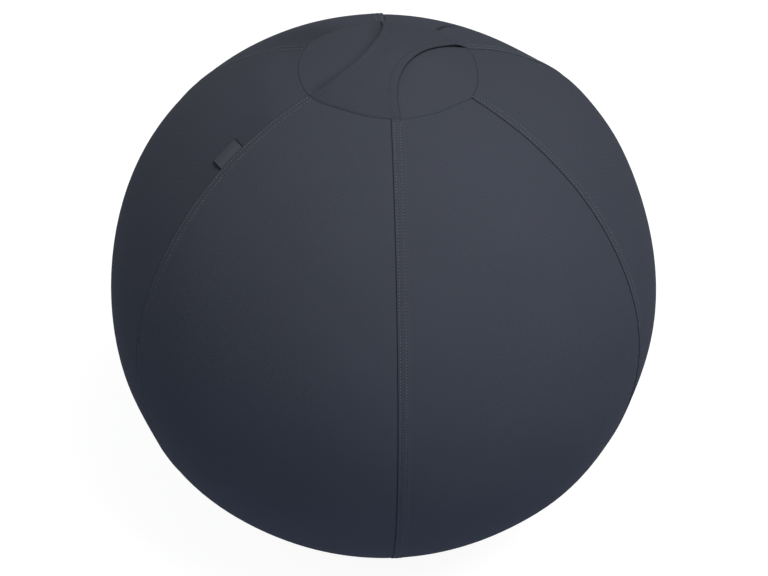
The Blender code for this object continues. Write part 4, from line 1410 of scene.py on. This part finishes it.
def tooth_shape(tree, given):
    """X runs along the zip, Y towards the other row and Z out of the cover."""
    thick, long, tall = (given[f"Tooth {side}"] for side in ("Thickness", "Length", "Height"))
    half = sum_of(tree, "MULTIPLY", long, HALF_TOOTH)
    block = add_node(tree, "GeometryNodeMeshCube").outputs["Mesh"]
    back, front = (sum_of(tree, "MULTIPLY", long, share) for share in (BLOCK_SHIFT, HEAD_SHIFT))
    body = sized_shape(tree, block, (thick, half, tall), (0.0, back, 0.0))
    swollen = sum_of(tree, "MULTIPLY", thick, HEAD_SWELL)
    head = sized_shape(tree, bead(tree, HEAD_RINGS), (swollen, half, tall), (0.0, front, 0.0))
    join = add_node(tree, "GeometryNodeJoinGeometry")
    for shape in (body, head):
        tree.links.new(shape, join.inputs["Geometry"])
    return join.outputs["Geometry"]


tooth_tree = instance_tree(
    "zip_teeth",
    {"Tooth Thickness": 1.15 * MM, "Tooth Length": 5.0 * MM, "Tooth Height": 1.9 * MM, "Uneven": 0.02},
    tooth_shape,
)


def make_teeth(name, side, first, last, *cad_nodes):
    """A row of teeth. The right row lies half a pitch further on."""
    polar = np.arange(first + (side > 0) * TOOTH_PITCH / 2 / BALL_RADIUS, last, TOOTH_PITCH / BALL_RADIUS)
    places = zip_point(np.full_like(polar, side * TOOTH_MIDDLE), polar, chain_low + CHAIN_HEIGHT / 2)
    along = side * np.stack([0 * polar, -np.cos(polar), np.sin(polar)], axis=-1)
    out = np.stack([0 * polar, np.sin(polar), np.cos(polar)], axis=-1)
    row = realised(name, tooth_tree, places, along, out, Finish=finishes["zip_plastic"])
    return stand_for(row, "cover", "zip_plastic", *cad_nodes)


print("tree:", tooth_tree.name, "with", len(tooth_tree.nodes), "nodes")

# %% Build both halves of the zip
STOP_REACH = 5.4 * MM
STOP_INNER = 1 * MM
STOP_AWAY = 1.8 * MM
STOP_STEPS = np.array([-1.5, -1.3, 1.3, 1.5])[:, None] * MM
STOP_ROUND = 0.3 * MM
STOP_DROP = 0.35 * MM


def make_stop(name, low, high, polar, cad_node):
    """A moulded end stop with dropped edges, across one or both rows."""
    angle = polar + STOP_STEPS / BALL_RADIUS
    across = np.array([low, low + STOP_ROUND, high - STOP_ROUND, high])[None, :]
    edge = np.array([True, False, False, True])
    drop = STOP_DROP * (edge[:, None] | edge[None, :])
    mesh = zip_sheet(name, across, angle, chain_low + CHAIN_HEIGHT - drop, chain_low)
    return add_cover_piece(mesh, "zip_plastic", cad_node)


for name, side in (("left", -1), ("right", 1)):
    tape = make_tape(f"tape_{name}", side, ZIP_TOP - tape_overlap, parting, f"zip_tape_{name}")
    make_tape(f"tape_{name}_foot", side, parting, ZIP_END + tape_overlap)
    teeth = make_teeth(f"teeth_{name}", side, chain_start, parting, f"zip_teeth_{name}")
    make_teeth(f"teeth_{name}_foot", side, parting, chain_end)
    low, high = sorted((side * STOP_INNER, side * STOP_REACH))
    stop_polar = chain_start - STOP_AWAY / BALL_RADIUS
    stop = make_stop(f"top_stop_{name}", low, high, stop_polar, f"zip_top_stop_{name}")
    for piece in (tape, teeth, stop):
        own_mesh(piece)
make_stop("bottom_stop", -STOP_REACH, STOP_REACH, chain_end + STOP_AWAY / BALL_RADIUS, "zip_bottom_stop")
print("teeth:", len(teeth.data.polygons), "faces in a row")

# %% [markdown]
# ## Slider and pull
# The slider is two shield-shaped plates with turned-in sides and an arched bridge on top. The
# pull is a flat tab with a window, which hangs on the bridge. Both are small castings, so they
# are cut from outlines, given thickness, and their edges are rounded with a bevel.

# %% Plates cut from outlines
BEVEL_FROM = math.radians(50)


def plate(outline, low, high, round_edge, hole=None):
    """An outline of (x, y) points made into a plate with rounded edges."""
    shape = bmesh.new()
    face = shape.faces.new([shape.verts.new((x, y, low)) for x, y in outline])
    if hole:
        inner = [shape.verts.new((x, y, low)) for x, y in hole]
        edges = [shape.edges.new((a, b)) for a, b in zip(inner, inner[1:] + inner[:1])]
        rim = list(face.edges)
        shape.faces.remove(face)
        bmesh.ops.triangle_fill(shape, edges=rim + edges, use_beauty=True)
    grown = bmesh.ops.extrude_face_region(shape, geom=list(shape.faces))
    moved = [item for item in grown["geom"] if isinstance(item, bmesh.types.BMVert)]
    bmesh.ops.translate(shape, verts=moved, vec=(0, 0, high - low))
    bmesh.ops.recalc_face_normals(shape, faces=shape.faces)
    sharp = [edge for edge in shape.edges if edge.calc_face_angle(0) > BEVEL_FROM]
    bmesh.ops.bevel(shape, geom=sharp, offset=round_edge, segments=2, affect="EDGES", clamp_overlap=True)
    return shape


def rounded_box(half_width, back, front, corner, steps=6):
    """Corner arcs of a rounded rectangle, anticlockwise."""
    outline = []
    spots = ((half_width, front), (-half_width, front), (-half_width, back), (half_width, back))
    for quarter, (x, y) in enumerate(spots):
        centre = (x - math.copysign(corner, x), y - corner if y == front else y + corner)
        outline += arc(centre, corner, quarter, quarter + 1, steps)
    return outline


def shifted(outline, aside, ahead):
    return [(x + aside, y + ahead) for x, y in outline]


def placed(name, shapes, turn):
    """Shapes joined into one mesh, turned from their own frame into the ball's."""
    mesh = bpy.data.meshes.new(name)
    whole = bmesh.new()
    for shape in shapes:
        shape.to_mesh(mesh)
        whole.from_mesh(mesh)
        shape.free()
    whole.to_mesh(mesh)
    whole.free()
    mesh.transform(turn)
    mesh.shade_smooth()
    mesh.set_sharp_from_angle(angle=math.radians(HARD_EDGE))
    return mesh


# %% Bridge of the slider
PLATE = 1.0 * MM
BRIDGE_REACH = 4.6 * MM
BRIDGE_ROOM = 2.6 * MM
BRIDGE_BAR = 1.3 * MM
BRIDGE_CORNER = 1.4 * MM
BRIDGE_FOOT = 0.4 * MM
BRIDGE_HALF_WIDTH = 0.8 * MM
BRIDGE_HALF_HEIGHT = 0.6 * MM
BRIDGE_SIDES = 10
plate_low = chain_low + CHAIN_HEIGHT + GAP


def bridge_shape():
    """A bar that arches over the plate, drawn round a path of rounded corners."""
    foot = plate_low + PLATE - BRIDGE_FOOT
    crest = plate_low + PLATE + BRIDGE_ROOM + BRIDGE_BAR / 2
    reach = BRIDGE_REACH - BRIDGE_BAR / 2
    turn, level = reach - BRIDGE_CORNER, crest - BRIDGE_CORNER
    path = np.array([
        (-reach, foot), *arc((-turn, level), BRIDGE_CORNER, 2, 1, 6),
        *arc((turn, level), BRIDGE_CORNER, 1, 0, 6), (reach, foot)])
    ahead = along_row(path)
    angles = np.linspace(0, TURN, BRIDGE_SIDES, endpoint=False)
    up = BRIDGE_HALF_HEIGHT * np.sin(angles)
    along, rise = path[:, :1] - ahead[:, 1:] * up, path[:, 1:] + ahead[:, :1] * up
    rings = np.stack([BRIDGE_HALF_WIDTH * np.cos(angles) + 0 * along, along, rise], axis=-1)
    mesh = ring_mesh("bridge", rings, (0, *path[0]), (0, *path[-1]))
    shape = bmesh.new()
    shape.from_mesh(mesh)
    bpy.data.meshes.remove(mesh)
    return shape


print("bridge leaves", BRIDGE_ROOM, "metres of room for the pull")

# %% Build the slider
SLIDER_LENGTH = 0.011
SLIDER_HALF_WIDTH = 5.7 * MM
SHIELD_CORNER = 2.4 * MM
SHIELD_TAPER = 0.16
PLATE_ROUND = 0.35 * MM
FLANGE_PLACE = 5.15 * MM
FLANGE_HALF = (0.4 * MM, 4 * MM)
FLANGE_CORNER = 0.35 * MM
FLANGE_SINK = 0.5 * MM
FLANGE_ROUND = 0.1 * MM
under_high = tape_level - TAPE_THICKNESS - GAP
at_slider = Matrix.Translation(CENTRE) @ Matrix.Rotation(-slider_polar, 4, "X")
shield = rounded_box(SLIDER_HALF_WIDTH, -SLIDER_LENGTH / 2, SLIDER_LENGTH / 2, SHIELD_CORNER)
shield = [(x * (1 - SHIELD_TAPER * (0.5 + y / SLIDER_LENGTH)), y) for x, y in shield]
slider_shapes = [plate(shield, low, low + PLATE, PLATE_ROUND) for low in (plate_low, under_high - PLATE)]
for side in (-1, 1):
    flange = rounded_box(FLANGE_HALF[0], -FLANGE_HALF[1], FLANGE_HALF[1], FLANGE_CORNER, 2)
    flange = shifted(flange, side * FLANGE_PLACE, 0)
    slider_shapes.append(plate(flange, chain_low, plate_low + FLANGE_SINK, FLANGE_ROUND))
slider_mesh = placed("slider", slider_shapes + [bridge_shape()], at_slider)
slider = add_piece(slider_mesh, finishes["zip_metal"])
stand_for(slider, "slider", "zip_metal", "zip_slider")
print("slider:", len(slider.data.polygons), "faces")

# %% Build the pull
PULL_LENGTH = 0.028
PULL_HALF_WIDTH = 3.3 * MM
PULL_CORNER = 2.2 * MM
PULL_HALF_THICK = 0.7 * MM
PULL_ROUND = 0.3 * MM
WINDOW_MIDDLE = 4.7 * MM
WINDOW_HALF = (1.1 * MM, 4 * MM)
WINDOW_CORNER = 0.8 * MM
GRIP_MIDDLE = 19.5 * MM
GRIP_HALF = (2.1 * MM, 5.5 * MM)
GRIP_CORNER = 1.4 * MM
GRIP_RISE = 0.25 * MM
GRIP_ROUND = 0.2 * MM
pull_hinge = Vector(joints["pull_swing"]["pos_m"])
hang = Matrix.Translation(pull_hinge) @ Matrix.Rotation(-math.pi / 2, 4, "X")
tab = rounded_box(PULL_HALF_WIDTH, -PULL_HALF_THICK, PULL_LENGTH - PULL_HALF_THICK, PULL_CORNER)
window = rounded_box(WINDOW_HALF[0], -WINDOW_HALF[1], WINDOW_HALF[1], WINDOW_CORNER, 4)
grip = rounded_box(GRIP_HALF[0], -GRIP_HALF[1], GRIP_HALF[1], GRIP_CORNER, 5)
grip_half = PULL_HALF_THICK + GRIP_RISE
pull_mesh = placed("pull_tab", [
    plate(tab, -PULL_HALF_THICK, PULL_HALF_THICK, PULL_ROUND, hole=shifted(window, 0, WINDOW_MIDDLE)[::-1]),
    plate(shifted(grip, 0, GRIP_MIDDLE), -grip_half, grip_half, GRIP_ROUND),
], hang)
pull = add_piece(pull_mesh, finishes["zip_metal"])
stand_for(pull, "pull", "zip_metal", "zip_pull")
print("pull:", len(pull.data.polygons), "faces")

# %% [markdown]
# ## Bladder and plug
# The air is in a vinyl bladder that fills the cover and gives way a little behind the zip,
# where its port is. Through the open zip one sees its surface, the rim of the port and the
# head of the plug. The bladder is the ball's own surface drawn a few millimetres inside, and
# the port and the plug are turned.

# %% Build the bladder
BLADDER_DEPTH = 3.2 * MM
BLADDER_SIDES = 180
BLADDER_ROWS = 120
GROOVE_HALF_WIDTH = 0.045
GROOVE_FADE = (0.15, 0.40)
PORT_RISE = 0.5 * MM
port_face = under_high - PLATE - 2 * GAP
groove_depth = BALL_RADIUS - BLADDER_DEPTH - (port_face - PORT_RISE)
bladder_base = lining_low + LINING + GAP


def bladder_rings():
    """Rings from the crown to the lining, with a groove behind the zip."""
    last = math.acos((bladder_base - CENTRE.z) / (BALL_RADIUS - BLADDER_DEPTH))
    polar = np.linspace(0, last, BLADDER_ROWS)[1:, None]
    azimuth = np.linspace(0, TURN, BLADDER_SIDES, endpoint=False)[None, :]
    across = BALL_RADIUS * np.sin(polar) * np.abs(azimuth - ZIP_SEAM * PANEL_ANGLE)
    beyond = np.maximum(np.maximum(ZIP_TOP - polar, polar - ZIP_END), 0)
    fade = 1 - ramp(beyond, *GROOVE_FADE)
    groove = groove_depth * fade * np.clip(1 - (across / GROOVE_HALF_WIDTH) ** 2, 0, 1)
    return cover_point(polar, azimuth, -BLADDER_DEPTH - groove)


rings = bladder_rings()
bladder_poles = cover_point(0.0, 0.0, -BLADDER_DEPTH), (0, 0, rings[-1, :, 2].mean())
bladder = add_cover_piece(ring_mesh("bladder", rings, *bladder_poles), "bladder_vinyl", "inner_bladder")
print("bladder:", len(bladder.data.polygons), "faces")

# %% Build the port and the plug
PORT_SIDES = 64
PORT_WALL = 2.2 * MM
COLLAR_BEVEL = 0.2 * MM
COLLAR_ROUND = 0.6 * MM
COLLAR_DEPTH = 4 * MM
PLUG_HEAD_RADIUS = 6.5 * MM
PLUG_HEAD = 1.8 * MM
PLUG_ROUND = 0.5 * MM
PLUG_SHANK_RADIUS = 4.3 * MM
PLUG_TIP_RADIUS = 3.6 * MM
PLUG_LENGTH = 0.020
DIMPLE_DEPTH = 0.5 * MM
DIMPLE_RADII = (1.6 * MM, 2.2 * MM)
at_port = Matrix.Translation(CENTRE) @ Matrix.Rotation(-(ZIP_TOP + ZIP_END) / 2, 4, "X")


def at_depth(*spots):
    """(radius, depth) points as a profile under the port's face."""
    return [(radius, port_face - depth) for radius, depth in spots]


def rim_arc(radius, round_edge):
    """The rounded outer edge of a face of that radius."""
    return arc((radius - round_edge, port_face - round_edge), round_edge, 1, 0, 4)


def turned_piece(name, profile, slot, poles, *cad_nodes):
    """A profile turned about the port's axis."""
    mesh = ring_mesh(name, turned_rings(profile, PORT_SIDES), *poles, sharp=HARD_EDGE)
    mesh.transform(at_port)
    return add_cover_piece(mesh, slot, *cad_nodes)


room = PLUG_HEAD_RADIUS + GAP
recess = PLUG_HEAD + GAP
collar_profile = at_depth((room, recess), (room, COLLAR_BEVEL), (room + COLLAR_BEVEL, 0))
collar_profile += rim_arc(room + PORT_WALL, COLLAR_ROUND)
collar_profile += at_depth(
    (room + PORT_WALL, COLLAR_DEPTH), (PLUG_SHANK_RADIUS, COLLAR_DEPTH), (PLUG_SHANK_RADIUS, recess))
collar = turned_piece("port_collar", collar_profile, "bladder_vinyl", ())

plug_profile = at_depth((DIMPLE_RADII[0], DIMPLE_DEPTH), (DIMPLE_RADII[1], 0))
plug_profile += rim_arc(PLUG_HEAD_RADIUS, PLUG_ROUND)
plug_profile += at_depth(
    (PLUG_HEAD_RADIUS, PLUG_HEAD), (PLUG_SHANK_RADIUS - GAP, PLUG_HEAD), (PLUG_TIP_RADIUS, PLUG_LENGTH))
plug_poles = [(0, *pole) for pole in at_depth((0, DIMPLE_DEPTH), (0, PLUG_LENGTH))]
plug = turned_piece("air_plug", plug_profile, "plug_plastic", plug_poles, "valve_plug")
print("collar:", len(collar.data.polygons), "faces, plug:", len(plug.data.polygons), "faces")

# %% [markdown]
# ## Floor, light and camera
# The photograph shows the ball on plain white, under one large soft lamp above its right side.
# A weak lamp above the front opens the shadows there, another one low behind the left side draws
# the edge of the ball, and the light that the floor throws back up fills the rest.
# To the camera the floor carries a little emission, which lifts its lit part to white while the
# ball's shadow stays on it, and the sky behind it is plain white too. The light that bounces
# meets a cool grey floor and a dim sky instead. One node tells the two apart: the Light Path.

# %% Floor
FLOOR_HALF = 30.0
FLOOR_SEEN = colour(0.25, 0.25, 0.25)
FLOOR_BOUNCE = colour(0.552, 0.644, 0.84)
FLOOR_GLOW = 0.93
WHITE = colour(1, 1, 1)
MATT_FLOOR = {"Roughness": 0.9, "Specular IOR Level": 0.0, "Emission Color": WHITE}


def seen_rays(tree):
    """1 for rays that show the backdrop itself, straight on, mirrored or through something clear."""
    rays = add_node(tree, "ShaderNodeLightPath").outputs
    mirrored = sum_of(tree, "MAXIMUM", rays["Is Glossy Ray"], rays["Is Transmission Ray"])
    return sum_of(tree, "MAXIMUM", rays["Is Camera Ray"], mirrored)


def make_floor_finish():
    made, tree, shader = new_material("pale_floor", MATT_FLOOR)
    seen = seen_rays(tree)
    feed(tree, shader["Base Color"], mixed(tree, seen, FLOOR_BOUNCE, FLOOR_SEEN))
    feed(tree, shader["Emission Strength"], sum_of(tree, "MULTIPLY", seen, FLOOR_GLOW))
    return made


floor_mesh = bpy.data.meshes.new("floor")
floor_corners = [(x * FLOOR_HALF, y * FLOOR_HALF, 0) for x, y in ((-1, -1), (1, -1), (1, 1), (-1, 1))]
floor_mesh.from_pydata(floor_corners, [], [(0, 1, 2, 3)])
floor = add_piece(floor_mesh, make_floor_finish())
print("floor:", 2 * FLOOR_HALF, "metres wide")


# %% Lights
def add_light(name, azimuth, elevation, distance, size, power):
    """A soft square lamp that looks at the middle of the ball."""
    lamp = bpy.data.lights.new(name, "AREA")
    lamp.shape = "SQUARE"
    lamp.size = size
    lamp.energy = power
    made = bpy.data.objects.new(name, lamp)
    out = Vector(direction(*np.radians([90 - elevation, azimuth])))
    made.location = CENTRE + out * distance
    made.rotation_euler = out.to_track_quat("Z", "Y").to_euler()
    bpy.context.scene.collection.objects.link(made)


add_light("key_light", 49, 63, 3.0, 1.7, 60)
add_light("fill_light", -16, 54, 3.0, 2.0, 7)
add_light("rim_light", -122, 14, 3.0, 2.0, 8.5)

SKY_STRENGTH = 0.16
SKY_BOUNCE = colour(0.95, 0.99, 1.08)
world = bpy.data.worlds.new("studio")
world.use_nodes = True
sky = world.node_tree
backdrop = sky.nodes["Background"].inputs
seen = seen_rays(sky)
feed(sky, backdrop["Color"], mixed(sky, seen, SKY_BOUNCE, WHITE))
feed(sky, backdrop["Strength"], sum_of(sky, "MAXIMUM", seen, SKY_STRENGTH))
bpy.context.scene.world = world
bpy.context.scene.view_settings.view_transform = "Standard"
print("lights:", [item.name for item in bpy.data.lights])

# %% Camera
IMAGE_WIDTH = 768
FOCAL_PIXELS = 1716.2
SENSOR_WIDTH = 36.0
CAMERA_ELEVATION = math.radians(39.186)
CAMERA_AZIMUTH = math.radians(-2.996)
CAMERA_ROLL = math.radians(1.295)
CAMERA_DISTANCE = 2.055
BALL_PIXEL_SHIFT = (0.39, -1.68)

lens = bpy.data.cameras.new("camera")
lens.sensor_width = SENSOR_WIDTH
lens.lens = FOCAL_PIXELS * SENSOR_WIDTH / IMAGE_WIDTH
lens.shift_x, lens.shift_y = (shift / IMAGE_WIDTH for shift in BALL_PIXEL_SHIFT)
camera = bpy.data.objects.new("camera", lens)
turned = Matrix.Rotation(CAMERA_AZIMUTH, 4, "Z")
turned = turned @ Matrix.Rotation(math.pi / 2 - CAMERA_ELEVATION, 4, "X")
turned = turned @ Matrix.Rotation(CAMERA_ROLL, 4, "Z")
camera.matrix_world = Matrix.Translation(CENTRE) @ turned @ Matrix.Translation((0, 0, CAMERA_DISTANCE))
bpy.context.scene.collection.objects.link(camera)
bpy.context.scene.camera = camera
print("camera at", [round(v, 3) for v in camera.matrix_world.translation])
